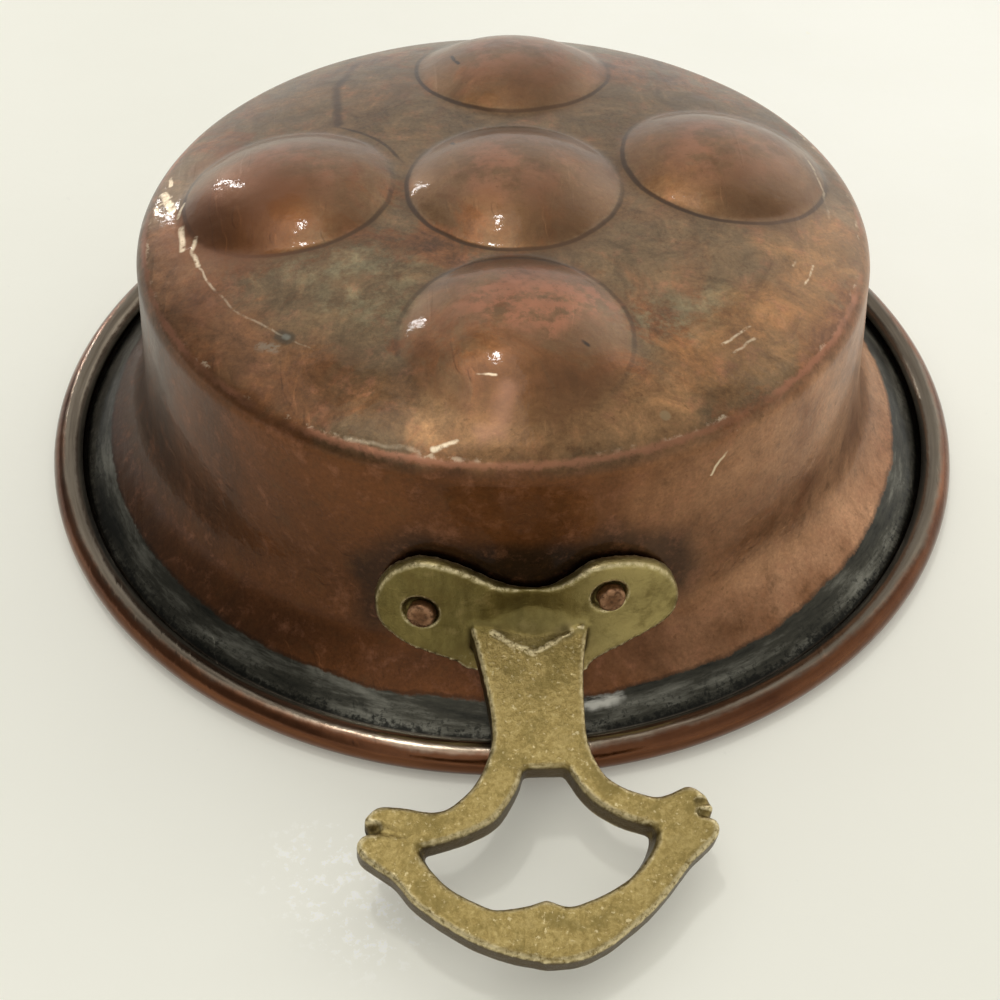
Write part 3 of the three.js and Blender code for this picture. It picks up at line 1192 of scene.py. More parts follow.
    def carve_notches(self, shape: BMesh) -> None:
        """Presses the dark notches into the lips at both ends of the loop.

        Args:
            shape: The casting in place.
        """
        form = self.form
        back = form.frame.inverted()
        for start, end, depth in self.notches:
            first, last = form.on_loop((start, end))
            run = last - first
            for vert in shape.verts:
                local = back @ vert.co
                flat = Vector((local.x, local.y))
                share = min(max((flat - first).dot(run) / run.length_squared, 0.0), 1.0)
                gap = (flat - first - run * share).length
                half = self.notch_half * (1.4 - self.notch_taper * share)
                if gap < half and local.z > -form.bar_thickness / 2:
                    taper = 1.0 - self.notch_taper * share
                    local.z -= depth * (1.0 - smoothstep(0.0, half, gap)) * taper
                    vert.co = form.frame @ local

    def sink_valley(self, shape: BMesh) -> None:
        """Presses a valley into the plate's front between its wings, down to the stem.

        Args:
            shape: The casting in place.
        """
        thickness = self.form.plate_thickness
        back = self.form.root - thickness
        low = self.form.stem_height
        for vert in shape.verts:
            out = AXIS.y - vert.co.y - back
            near = 1.0 - abs(vert.co.x - AXIS.x) / self.valley_half
            if near > 0.0 and 0.0 < out < self.valley_fade[1] and vert.co.z > low:
                near = min(1.0, near * self.valley_gain) ** self.valley_power
                share = min(1.0, out / thickness) * (1.0 - smoothstep(*self.valley_fade, out))
                share *= smoothstep(low, low + self.valley_foot, vert.co.z)
                vert.co.y += self.valley_depth * near * share

    def ease_plate(self, shape: BMesh) -> None:
        """Rounds off the steps that the remeshing leaves on the plate's edges.

        Args:
            shape: The casting in place.
        """
        reach = CLEARANCE + self.form.plate_thickness + self.ease_room
        wall = self.form.pan.wall_radius
        plate = [vert for vert in shape.verts if off_axis(vert.co) - wall(vert.co.z) < reach]
        smoothed(shape, plate, self.ease_rounds)

    def mark_flanks(self, shape: BMesh) -> None:
        """Stores 1 where the stem and loop turn away from their flat top, for the painted shade there.

        Args:
            shape: The casting in place.
        """
        flank_shade = shape.verts.layers.float.new("flank_shade")
        back = self.form.frame.inverted()
        up = self.form.frame.to_3x3() @ UPWARDS
        for vert in shape.verts:
            out = smoothstep(*self.flank_run, (back @ vert.co).y)
            vert[flank_shade] = out * smoothstep(0.35, 0.85, 1.0 - vert.normal.dot(up))

    def grain(self, shape: BMesh) -> None:
        """Gives the faces a sand-cast unevenness.

        Args:
            shape: The casting in place.
        """
        for vert in shape.verts:
            swell = ripple(vert.co, 0.006, 5.0) * 1.6 + ripple(vert.co, 0.0016, 2.0)
            vert.co += vert.normal * (self.grain_depth * (swell - 1.0))


def mark_edges(shape: BMesh, size: float) -> None:
    """Stores where a surface is ridged and where it is hollow, for wear and dirt.

    Args:
        shape: The fine mesh.
        size: Width of the ridges and hollows that count.
    """
    ridge = shape.verts.layers.float.new("ridge")
    hollow = shape.verts.layers.float.new("hollow")
    shape.normal_update()
    bend = {}
    for vert in shape.verts:
        around = [edge.other_vert(vert).co for edge in vert.link_edges]
        middle = sum(around, Vector()) / len(around)
        span = sum((each - vert.co).length for each in around) / len(around)
        bend[vert.index] = (vert.co - middle).dot(vert.normal) / (span * span) * size
    for _ in range(2):
        bend = {
            vert.index: 0.5 * bend[vert.index]
            + 0.5 * sum(bend[e.other_vert(vert).index] for e in vert.link_edges) / len(vert.link_edges)
            for vert in shape.verts
        }
    for vert in shape.verts:
        vert[ridge] = max(bend[vert.index], 0.0)
        vert[hollow] = max(-bend[vert.index], 0.0)


@dataclass
class Rivet:
    """A copper rivet: a low head inside the pan, a shank and a hammered end in the plate."""

    name: str
    node: str
    across_share: float
    up_share: float
    handle: HandleForm
    shank_radius: float = 0.002
    head_radius: float = 0.0045
    head_thickness: float = 0.0018
    tail_radius: float = 0.00225
    tail_proud: float = 0.0011
    tail_foot: float = 0.0004
    tail_flat: float = 0.6
    seat_radius: float = 0.00270
    seat_sink: float = 0.0009
    seat_shift: float = 0.00022
    worn_fade: Pair = (-0.0007, -0.0001)
    squash_share: float = 0.06
    hammer_depth: float = 0.00014
    around: int = 48

    def frame(self) -> Matrix:
        """Frame on the wall's outside: Z points out of the pan."""
        height = self.handle.plate_foot + self.up_share * self.handle.plate_height
        pan = self.handle.pan
        step = 0.0005
        radius = pan.wall_radius(height)
        lean = math.atan2(pan.wall_radius(height - step) - radius, step)
        turn = self.across_share * self.handle.plate_half_width / radius
        out = Vector((math.sin(turn) * math.cos(lean), -math.cos(turn) * math.cos(lean), math.sin(lean)))
        place = AXIS + Vector((radius * math.sin(turn), -radius * math.cos(turn), height))
        return Matrix.Translation(place) @ out.to_track_quat("Z", "Y").to_matrix().to_4x4()

    @property
    def plate_front(self) -> float:
        """Distance from the wall's outside to the plate's front."""
        return CLEARANCE + self.handle.plate_thickness

    def bore(self) -> tuple[Matrix, float, float]:
        """Frame, radius and floor of the seat that the end sits in, a little off its middle."""
        aside = Matrix.Translation((-self.seat_shift, 0.0, self.seat_shift))
        return aside @ self.frame(), self.seat_radius, self.plate_front - self.seat_sink

    def build(self) -> Piece:
        """Turns the rivet and then hammers its end.

        Returns:
            The rivet.
        """
        pan = self.handle.pan
        sheets = pan.thickness + CLEARANCE + pan.tin_thickness
        seat = -sheets - CLEARANCE - self.head_radius**2 / (2 * pan.base_radius)
        top = seat - self.head_thickness
        floor = self.plate_front - self.seat_sink + CLEARANCE
        tip = self.plate_front + self.tail_proud
        wide = self.tail_radius
        head = [(0.0, top), (self.head_radius, top), (self.head_radius, seat)]
        shank = [(self.shank_radius, seat), (self.shank_radius, floor), (wide, floor)]
        tail = [(wide, floor + self.tail_foot), (wide, tip), (wide, tip), (wide * self.tail_flat, tip),
                (0.0, tip)]
        head, shank, tail = ([Vector(each) for each in points] for points in (head, shank, tail))
        form = turned(bezier(head, 9) + shank + bezier(tail, 14), self.around, Vector())
        worn = form.verts.layers.float.new("worn")
        for vert in form.verts:
            if vert.co.z > floor:
                near_tip = smoothstep(*(tip + each for each in self.worn_fade), vert.co.z)
                vert[worn] = smoothstep(0.35, 0.80, math.hypot(vert.co.x, vert.co.y) / wide) * near_tip
                swell = ripple(vert.co, 0.002, 4.0 + self.across_share)
                vert.co.x *= 1.0 - self.squash_share * abs(swell)
                dent = max(0.0, ripple(vert.co, 0.0016, 9.0 + self.up_share) + 0.2)
                vert.co.z -= self.hammer_depth * dent
        bmesh.ops.transform(form, matrix=self.frame(), verts=form.verts)
        return piece_from(form, self.name)


@dataclass(frozen=True)
class TarnishedCopper:
    """Brown tarnished copper, worn to pink on its high places, grey where tin ran over the rim."""

    olive: Colour = (0.165, 0.108, 0.054)
    umber: Colour = (0.105, 0.049, 0.019)
    russet: Colour = (0.205, 0.088, 0.034)
    ochre: Colour = (0.270, 0.140, 0.052)
    amber_sheen: Colour = (0.335, 0.185, 0.080)
    olive_pale: Colour = (0.200, 0.130, 0.066)
    verdigris: Colour = (0.225, 0.188, 0.105)
    pink: Colour = (0.370, 0.160, 0.088)
    cream: Colour = (0.800, 0.660, 0.460)
    night: Colour = (0.050, 0.024, 0.011)
    wall_dark: Colour = (0.090, 0.034, 0.012)
    wall_red: Colour = (0.150, 0.055, 0.018)
    wall_pale: Colour = (0.500, 0.270, 0.145)
    wall_stain: Colour = (0.205, 0.086, 0.035)
    wall_foot: Colour = (0.060, 0.022, 0.009)
    # Near-black for soot spots and for painted shade: the plate's shadow on the wall, the wells' creases and
    # the tin band's inner edge.
    soot_and_shade: Colour = (0.022, 0.014, 0.009)
    black: Colour = (0.004, 0.004, 0.003)
    tin_dark: Colour = (0.018, 0.018, 0.014)
    tin_grey: Colour = (0.056, 0.053, 0.040)
    tin_pale: Colour = (0.210, 0.203, 0.165)
    bead_tin_and_sheen: Colour = (0.440, 0.370, 0.285)
    bead_brown: Colour = (0.140, 0.105, 0.072)
    bead_side_shade: Colour = (0.075, 0.060, 0.043)
    bead_red: Colour = (0.200, 0.078, 0.032)
    bead_foot: Colour = (0.075, 0.026, 0.011)
    tin_glint: Colour = (0.660, 0.640, 0.560)
    blush: Colour = (0.420, 0.165, 0.088)
    smear: Colour = (0.260, 0.235, 0.175)
    rough: float = 0.40
    metal: float = 0.98
    # Cream scratch lines: strength, half width, fade and points. Some are painted glints and a painted
    # highlight.
    scratches_and_glints: tuple[tuple[float, float, float, tuple[Point, ...]], ...] = (
        (0.80, 0.00008, 0.0003, ((0.0501, -0.0021, 0.0494), (0.0475, -0.0072, 0.0497))),
        (0.40, 0.00006, 0.0003, ((0.0480, 0.0010, 0.0497), (0.0462, -0.0030, 0.0500))),
        (0.60, 0.00008, 0.0003, ((0.0314, -0.0222, 0.0502), (0.0364, -0.0180, 0.0501))),
        (0.40, 0.00006, 0.0003, ((0.0331, -0.0236, 0.0496), (0.0368, -0.0204, 0.0496))),
        (0.50, 0.00006, 0.0003,
         ((0.0314, -0.0358, 0.0450), (0.0282, -0.0374, 0.0452), (0.0241, -0.0396, 0.0448))),
        (0.40, 0.00006, 0.0003, ((0.0308, -0.0354, 0.0459), (0.0266, -0.0388, 0.0444))),
        (0.80, 0.00010, 0.0003, ((0.0316, -0.0359, 0.0447), (0.0281, -0.0393, 0.0387))),
        (0.35, 0.00010, 0.0005,
         ((0.0545, 0.0290, 0.0503), (0.0562, 0.0190, 0.0493), (0.0555, 0.0080, 0.0490))),
        (0.70, 0.00010, 0.0003, ((0.0530, 0.0300, 0.0503), (0.0543, 0.0250, 0.0500))),
        # Chips on the left shoulder: worn spots, partly painted glints.
        (0.90, 0.00022, 0.0003, ((-0.0611, 0.0286, 0.0456), (-0.0599, 0.0216, 0.0474))),
        (0.90, 0.00018, 0.0003, ((-0.0586, 0.0328, 0.0473), (-0.0583, 0.0297, 0.0476))),
        (0.95, 0.00050, 0.0005,
         ((-0.0596, 0.0275, 0.0473), (-0.0581, 0.0236, 0.0480), (-0.0571, 0.0206, 0.0485))),
        (0.85, 0.00018, 0.0003, ((-0.0600, 0.0240, 0.0474), (-0.0578, 0.0256, 0.0481))),
        (0.80, 0.00016, 0.0003, ((-0.0558, 0.0182, 0.0489), (-0.0549, 0.0214, 0.0495))),
        (0.75, 0.00022, 0.0006, ((-0.0550, 0.0149, 0.0491), (-0.0543, 0.0087, 0.0491))),
        (0.85, 0.00014, 0.0005,
         ((-0.0521, 0.0108, 0.0499), (-0.0525, 0.0074, 0.0495), (-0.0512, 0.0036, 0.0496))),
        (0.50, 0.00004, 0.0003,
         ((-0.0512, 0.0036, 0.0496), (-0.0505, 0.0016, 0.0497), (-0.0478, -0.0039, 0.0498))),
        (0.26, 0.00002, 0.0003,
         ((-0.0478, -0.0039, 0.0498), (-0.0440, -0.0095, 0.0500), (-0.0388, -0.0143, 0.0503))),
        (0.26, 0.00003, 0.0003, ((-0.0388, -0.0143, 0.0503), (-0.0318, -0.0202, 0.0505))),
        # Painted glints on the front well, then a painted highlight on the corner below it.
        (0.90, 0.00012, 0.0003, ((-0.0116, -0.0294, 0.0525), (-0.0044, -0.0312, 0.0535))),
        (0.50, 0.00008, 0.0003, ((-0.0089, -0.0324, 0.0520), (-0.0054, -0.0330, 0.0524))),
        (0.95, 0.00022, 0.0004, ((-0.0142, -0.0402, 0.0474), (-0.0107, -0.0395, 0.0479))),
        (0.28, 0.00005, 0.0005,
         ((-0.0272, -0.0363, 0.0470), (-0.0205, -0.0389, 0.0472), (-0.0162, -0.0404, 0.0471))),
    )

    def material(self, form: PanForm) -> Material:
        """The sheet's material.

        Args:
            form: The sheet's shape.

        Returns:
            The material.
        """
        s = Shader("tarnished_copper", PLACE)
        flat = s.vector("MULTIPLY", s.vector("SUBTRACT", s.point, tuple(AXIS)), (1.0, 1.0, 0.0))
        radius = s.vector("LENGTH", flat)
        height = s.axes["Z"]
        fine = s.noise(0.0036, 7.0, 0.72, 0.2)
        on_base = s.step(height, 0.0440, 0.0475)
        colour = s.blend(on_base, self.wall(s, form), self.base(s))
        colour = s.blend(s.step(fine, 0.50, 0.74, 0.40), colour, self.pink)
        colour = s.blend(s.step(fine, 0.48, 0.26, 0.60), colour, self.umber)
        grit = s.noise(0.0007, 4.0, 0.75, seed=1.9)
        shade = s.ramp(grit, [(0.25, (0.62, 0.60, 0.58)), (0.50, (1.0, 1.0, 1.0)),
                              (0.75, (1.45, 1.40, 1.36))])
        colour = s.blend(0.65, colour, shade, "MULTIPLY")
        cloth = s.noise(0.0085, 6.0, 0.70, 0.9, seed=2.3)
        tone = s.ramp(cloth, [(0.32, (0.55, 0.52, 0.49)), (0.50, (0.90, 0.88, 0.87)),
                              (0.68, (1.36, 1.27, 1.22))])
        colour = s.blend(s.times(on_base, 0.95), colour, tone, "MULTIPLY")
        colour = self.wells(s, form, colour)
        colour = self.corner(s, radius, height, colour)
        specks = s.step(s.noise(0.0009, 3.0, 0.6, seed=0.1), 0.62, 0.72, 0.40)
        colour = s.blend(specks, colour, self.umber)
        colour = self.marks(s, colour)
        colour, rim_rough = self.rim(s, flat, radius, height, colour)
        normal = s.relief(s.noise(0.012, 3.0, 0.5, seed=0.2), 0.00030)
        coat = s.relief(s.noise(0.0020, 3.0, 0.6, seed=0.6), 0.00005, normal)
        normal = s.relief(self.rubbing(s), 0.00002, normal)
        normal = s.relief(fine, 0.00006, normal)
        rough = s.math("ADD", s.scaled(fine, 0.26, self.rough - 0.13), rim_rough)
        s.feed(s.surface.inputs["Coat Weight"], s.scaled(on_base, 0.24, 0.16))
        s.surface.inputs["Coat Roughness"].default_value = 0.06
        s.feed(s.surface.inputs["Coat Normal"], coat)
        return s.finish(colour, rough, self.metal, normal)

    def base(self, s: Shader) -> Socket:
        """Mottled browns of the base, with dull green and orange patches and a painted sheen along the front
        edge.

        Args:
            s: The material's tree.

        Returns:
            The colour.
        """
        loose = s.shaken(0.010, 0.008, 4.0)
        clouds = s.noise(0.018, 6.0, 0.68, 0.6)
        colour = s.ramp(clouds, [(0.34, self.umber), (0.43, self.russet), (0.51, self.olive),
                                 (0.70, self.olive)])
        colour = s.marked(colour, (
            Mark(self.olive, 0.80, 0.008, 0.014,
                 ((-0.030, 0.052, 0.052), (-0.020, 0.040, 0.053), (0.0, 0.031, 0.053),
                  (0.018, 0.026, 0.053), (0.030, 0.040, 0.051))),
            Mark(self.olive_pale, 0.65, 0.007, 0.012,
                 ((0.022, 0.000, 0.053), (0.040, 0.004, 0.051), (0.052, 0.020, 0.050))),
        ), loose)
        veins = s.step(s.noise(0.0045, 6.0, 0.72), 0.38, 0.62)
        green = s.stroke((-0.036, 0.005, 0.053), (-0.022, -0.008, 0.053), 0.003, 0.009, loose)
        more = s.line(((0.019, -0.018, 0.052), (0.026, -0.018, 0.051), (0.034, -0.014, 0.051)),
                      0.001, 0.007, loose)
        colour = s.blend(s.times(s.math("MAXIMUM", green, more), veins, 0.95), colour, self.verdigris)
        return s.marked(colour, (
            Mark(self.ochre, 0.70, 0.003, 0.008,
                 ((0.030, -0.026, 0.050), (0.044, -0.012, 0.050), (0.054, 0.004, 0.049))),
            Mark(self.russet, 0.75, 0.003, 0.008,
                 ((-0.057, 0.014, 0.048), (-0.052, -0.008, 0.048), (-0.040, -0.022, 0.049),
                  (-0.034, -0.026, 0.049))),
            Mark(self.umber, 0.70, 0.001, 0.007,
                 ((-0.034, -0.028, 0.049), (-0.026, -0.027, 0.050), (-0.018, -0.032, 0.050))),
            Mark(self.umber, 0.25, 0.002, 0.007,
                 ((0.008, -0.036, 0.050), (0.020, -0.034, 0.049), (0.030, -0.030, 0.049))),
            # Lighter line along the front edge: painted sheen.
            Mark(self.amber_sheen, 0.80, 0.001, 0.007,
                 ((-0.012, -0.0385, 0.0490), (0.004, -0.0390, 0.0485), (0.022, -0.0350, 0.0485))),
        ), loose)

    def wall(self, s: Shader, form: PanForm) -> Socket:
        """The wall: red in front, darker on the left and paler on the right, partly tarnish and partly
        painted shade and light, with a painted shadow round the plate.

        Args:
            s: The material's tree.
            form: The sheet's shape.

        Returns:
            The colour.
        """
        clouds = s.noise(0.024, 6.0, 0.66, 0.5, (1.0, 1.0, 0.55), seed=0.3)
        colour = s.ramp(clouds, [(0.34, self.wall_dark), (0.60, self.wall_red)])
        drift = s.math("ADD", s.axes["X"], s.swing(clouds, 0.045))
        # Paler towards the right and front right, darker on the left: partly tarnish, partly painted light
        # and painted shade from the room.
        stain = s.noise(0.0150, 5.0, 0.62, 0.3, seed=5.1)
        pale = s.ramp(stain, [(0.32, self.wall_stain), (0.62, self.wall_pale)])
        facing = s.times(s.step(drift, 0.002, 0.058), s.step(s.axes["Y"], 0.062, 0.026, 0.65))
        all_round = s.times(s.step(drift, 0.002, 0.058), 0.35)
        colour = s.blend(s.math("ADD", facing, all_round), colour, pale)
        colour = s.blend(s.step(drift, -0.040, -0.068, 0.80), colour, self.night)
        flare = s.times(s.step(s.axes["Z"], 0.026, 0.012), s.step(s.axes["X"], -0.020, -0.046), 0.3)
        colour = s.blend(flare, colour, self.wall_foot)
        loose = s.shaken(0.006, 0.002, 4.0)
        around = tuple(tuple(form.on_wall(*each)) for each in (
            (-0.024, 0.016), (-0.024, 0.024), (-0.018, 0.030), (-0.006, 0.0275), (0.006, 0.0275),
            (0.013, 0.0305), (0.022, 0.026), (0.024, 0.020),
        ))
        # Painted shadow on the wall round the top of the handle's plate, darkest at the dip in its middle.
        grime_and_shade = s.line(around, 0.0012, 0.0055, loose)
        dark = s.line(around[3:5], 0.0020, 0.0045, loose)
        colour = s.blend(s.times(grime_and_shade, 0.72), colour, self.soot_and_shade)
        return s.blend(s.times(dark, 0.6), colour, self.soot_and_shade)

    def corner(self, s: Shader, radius: Socket, height: Socket, colour: Socket) -> Socket:
        """Lays the worn line where the base turns into the wall, rubbed through here and there.

        Args:
            s: The material's tree.
            radius: Distance from the axis.
            height: Height over the table.
            colour: What lies below.

        Returns:
            The colour.
        """
        chips = s.noise(0.0016, 4.0, 0.7, seed=0.9)
        broken = s.step(s.noise(0.014, 3.0, 0.6, seed=1.3), 0.36, 0.60)
        broken = s.math("MAXIMUM", broken, s.step(s.axes["Y"], -0.0300, -0.0400, 0.8))
        edge = s.math("ADD", radius, s.swing(chips, 0.0016))
        line = s.times(s.band(edge, 0.0617, 0.00010, 0.0007), broken, s.step(height, 0.0440, 0.0450))
        colour = s.blend(s.times(line, 0.8), colour, self.pink)
        sparse = s.step(s.noise(0.0060, 3.0, 0.6, seed=2.9), 0.46, 0.62)
        chip = s.times(s.band(edge, 0.0612, 0.0001, 0.0004), s.step(chips, 0.46, 0.66), sparse)
        return s.blend(s.times(chip, 0.50), colour, self.cream)

    def marks(self, s: Shader, colour: Socket) -> Socket:
        """The few marks that can be told apart: pits, streaks, a light dot, a painted highlight and cream
        scratch lines, some of them painted glints.

        Args:
            s: The material's tree.
            colour: What lies below.

        Returns:
            The colour.
        """
        loose = s.shaken(0.0045, 0.0008, 3.0)
        colour = s.marked(colour, (
            Mark(self.night, 0.75, 0.0002, 0.0013,
                 ((-0.0220, 0.0755, 0.0440), (-0.0245, 0.0690, 0.0475), (-0.0290, 0.0555, 0.0512),
                  (-0.0284, 0.0405, 0.0524))),
            Mark(self.wall_red, 0.45, 0.0010, 0.0028,
                 ((-0.0535, 0.0330, 0.0500), (-0.0480, 0.0375, 0.0505))),
            Mark((0.060, 0.046, 0.028), 0.75, 0.0007, 0.0009,
                 ((-0.0368, -0.0161, 0.0504), (-0.0356, -0.0169, 0.0504))),
        ), loose)
        eye = Mark((0.180, 0.175, 0.140), 0.80, 0.0002, 0.0006,
                   ((-0.0364, -0.0164, 0.0504), (-0.0360, -0.0167, 0.0504)))
        colour = s.marked(colour, [eye])
        smear = s.stroke((-0.0404, -0.0176, 0.0495), (-0.0380, -0.0184, 0.0495), 0.0004, 0.0010, loose)
        broken = s.step(s.noise(0.0009, 3.0, 0.6), 0.36, 0.56)
        colour = s.blend(s.times(smear, broken, 0.5), colour, self.smear)
        dot = Mark((0.260, 0.200, 0.110), 0.55, 0.0006, 0.0004,
                   ((0.0206, -0.0358, 0.0482), (0.0207, -0.0359, 0.0482)))
        colour = s.marked(colour, [dot])
        spots = (
            ((0.0090, -0.0256, 0.0541), (0.0096, -0.0259, 0.0541)),
            ((-0.0084, 0.0285, 0.0553), (-0.0078, 0.0255, 0.0558)),
            ((-0.0071, 0.0600, 0.0540), (-0.0062, 0.0560, 0.0550)),
        )
        colour = s.marked(colour, (Mark(self.soot_and_shade, 0.85, 0.00015, 0.0004, spot) for spot in spots), loose)
        crown = s.line(((-0.0037, -0.0151, 0.0566), (0.0030, -0.0190, 0.0566), (0.0103, -0.0137, 0.0549)),
                       0.0020, 0.0060, s.shaken(0.006, 0.006, 4.0))
        cloudy = s.step(s.noise(0.0030, 5.0, 0.7, seed=3.1), 0.42, 0.58)
        colour = s.blend(s.times(crown, cloudy, 0.55), colour, self.blush)
        # Painted highlight on the corner below the front well.
        front_glint = Mark((0.480, 0.250, 0.165), 0.32, 0.0004, 0.0022,
                    ((-0.0065, -0.0386, 0.0485), (-0.0046, -0.0384, 0.0490), (-0.0028, -0.0330, 0.0520)))
        colour = s.marked(colour, [front_glint], loose)
        patchy = s.step(s.noise(0.0020, 4.0, 0.7), 0.32, 0.56)
        return s.marked(colour, (Mark(self.cream, *each) for each in self.scratches_and_glints), loose, patchy)

    def wells(self, s: Shader, form: PanForm, colour: Socket) -> Socket:
        """Lays the dark crease round each well, double-struck on one, their worn crowns, and painted shade
        along part of each crease and low on each dome's front side.

        Args:
            s: The material's tree.
            form: The sheet's shape.
            colour: What lies below.

        Returns:
            The colour.
        """
        wander = s.swing(s.noise(0.012, 2.0), 0.0010)
        patch = s.step(s.noise(0.0070, 6.0, 0.68, seed=0.77), 0.40, 0.62)
        edge = form.well_radius
        for (share, turn), (_, ring) in zip(form.well_places, form.wells):
            angle = math.radians(turn)
            middle = AXIS + Vector((ring * math.cos(angle), ring * math.sin(angle), form.crown(ring)))
            off = s.vector("SUBTRACT", s.point, tuple(middle))
            gap = s.math("ADD", s.vector("LENGTH", off), wander)
            side = 1.0 if turn < -45.0 else -1.0
            facing = s.step(s.vector("DOT_PRODUCT", off, (0.35 * side, side, 0.0)), -0.016, 0.012, 0.9)
            in_front = -120.0 < turn < -45.0
            # Dark line along part of the crease, with a faint darker ring just outside it: dirt in the
            # crease and painted shade.
            crease = s.times(s.band(gap, edge + 0.0001, 0.00018, 0.00042), facing)
            crease = s.times(crease, 0.55 if in_front and share > 0.5 else 1.0)
            colour = s.blend(crease, colour, self.soot_and_shade)
            crease_shade_ring = s.times(s.step(gap, 0.0210, 0.0184), s.step(gap, 0.0178, 0.0183), facing, 0.32)
            colour = s.blend(crease_shade_ring, colour, self.umber)
            top = s.gap(off, (0.0, 0.002 + 0.003 * side, 0.004))
            crown = s.times(s.step(top, 0.0150, 0.005), patch, 0.55)
            dome = s.step(gap, edge + 0.0002, edge - 0.0012)
            colour = s.blend(s.times(dome, 0.40), colour, self.russet)
            colour = s.blend(crown, colour, self.pink)
            # Darker low on each dome's front side: painted shade.
            low = s.gap(off, (0.004, -0.0110, 0.0))
            colour = s.blend(s.step(low, 0.0135, 0.004, 0.40 if in_front else 0.60), colour, self.umber)
            if abs(turn) > 150.0:
                red = s.gap(off, (-0.007, -0.0080, 0.0))
                colour = s.blend(s.step(red, 0.0170, 0.007, 0.85), colour, self.wall_red)
                second = s.step(s.vector("DOT_PRODUCT", off, (0.75, 0.66, 0.0)), 0.0180, 0.0194)
                again = s.times(s.band(gap, 0.0203, 0.0001, 0.0004), second, 0.6)
                colour = s.blend(again, colour, self.soot_and_shade)
        return colour

    def rim(self, s: Shader, flat: Socket, radius: Socket, height: Socket,
            colour: Socket) -> tuple[Socket, Socket]:
        """Lays the grey band, the gritty black groove with painted shade in it, and the bead's tones, with
        painted highlights on the tin and the bead and painted shade on the bead's sides.

        Args:
            s: The material's tree.
            flat: Place about the axis, without its height.
            radius: Distance from the axis.
            height: Height over the table.
            colour: What lies below.

        Returns:
            The colour, and what the rim adds to the roughness.
        """
        lap = s.vector("MULTIPLY", s.vector("NORMALIZE", flat), (0.080, 0.080, 0.0))
        deep = s.node("ShaderNodeCombineXYZ")
        s.feed(deep.inputs["Z"], s.times(s.math("ADD", radius, height), 22.0))
        lengthwise = s.vector("ADD", lap, deep.outputs["Vector"])
        grit = s.noise(0.0011, 6.0, 0.75, 0.2)
        coarse = s.noise(0.010, 3.0, 0.6, seed=0.5)
        streaks = s.noise(0.0220, 6.0, 0.70, 0.0, place=lengthwise)
        waver = s.math("ADD", s.swing(grit, 0.0010), s.swing(coarse, 0.0020))
        edge = s.math("ADD", radius, waver)
        band = s.step(edge, 0.0737, 0.0741)
        tin = s.ramp(streaks, [(0.34, self.tin_dark), (0.50, self.tin_grey), (0.68, self.tin_pale)])
        # Black in the groove between flare and bead: gritty dirt and painted shade.
        grime_and_shade = s.step(s.math("ADD", edge, s.swing(grit, -0.006)), 0.0776, 0.0790)
        tin = s.blend(s.times(grime_and_shade, 0.92), tin, self.black)
        pits = s.times(s.step(grit, 0.49, 0.38), s.step(edge, 0.0740, 0.0775), 0.75)
        tin = s.blend(pits, tin, self.tin_dark)
        # Painted highlight on the tin band beside the stem.
        tin_glint = s.line(((0.0046, -0.0573, 0.0051), (0.0090, -0.0564, 0.0055), (0.0130, -0.0555, 0.0056)),
                       0.0002, 0.0020, s.shaken(0.002, 0.0014, 3.0))
        tin = s.blend(s.times(tin_glint, s.step(streaks, 0.40, 0.56), 0.85), tin, self.tin_glint)
        # Painted shadow line along the tin band's inner edge.
        lip_shadow = s.band(edge, 0.0738, 0.0001, 0.0005)
        colour = s.blend(s.times(lip_shadow, 0.5), colour, self.soot_and_shade)
        colour = s.blend(band, colour, tin)
        bead = s.step(radius, 0.0788, 0.0795)
        # The bead's inner side: pale tin streaks with a painted highlight, and painted shade towards its
        # left and right sides.
        inner = s.ramp(streaks, [(0.34, self.bead_brown), (0.62, self.bead_tin_and_sheen)])
        for start, end, strength in ((0.010, 0.050, 0.80), (-0.022, -0.058, 0.75)):
            inner = s.blend(s.step(s.axes["X"], start, end, strength), inner, self.bead_side_shade)
        outer = s.ramp(streaks, [(0.30, self.bead_foot), (0.68, self.bead_red)])
        mixed = s.blend(s.step(edge, 0.0824, 0.0838), inner, outer)
        colour = s.blend(bead, colour, mixed)
        shift = s.math("SUBTRACT", s.times(band, -0.06), s.times(bead, 0.14))
        return colour, shift

    def rubbing(self, s: Shader) -> Socket:
        """Fine rubbing marks in two directions.

        Args:
            s: The material's tree.

        Returns:
            The relief, 1 on a mark.
        """
        one = s.noise(0.0040, 2.0, 0.5, 0.0, (1.0, 0.06, 1.0), 0.5, 0.9)
        two = s.noise(0.0050, 2.0, 0.5, 0.0, (1.0, 0.05, 1.0), -0.9, 1.7)
        return s.math("MAXIMUM", s.step(one, 0.62, 0.66), s.step(two, 0.64, 0.68))


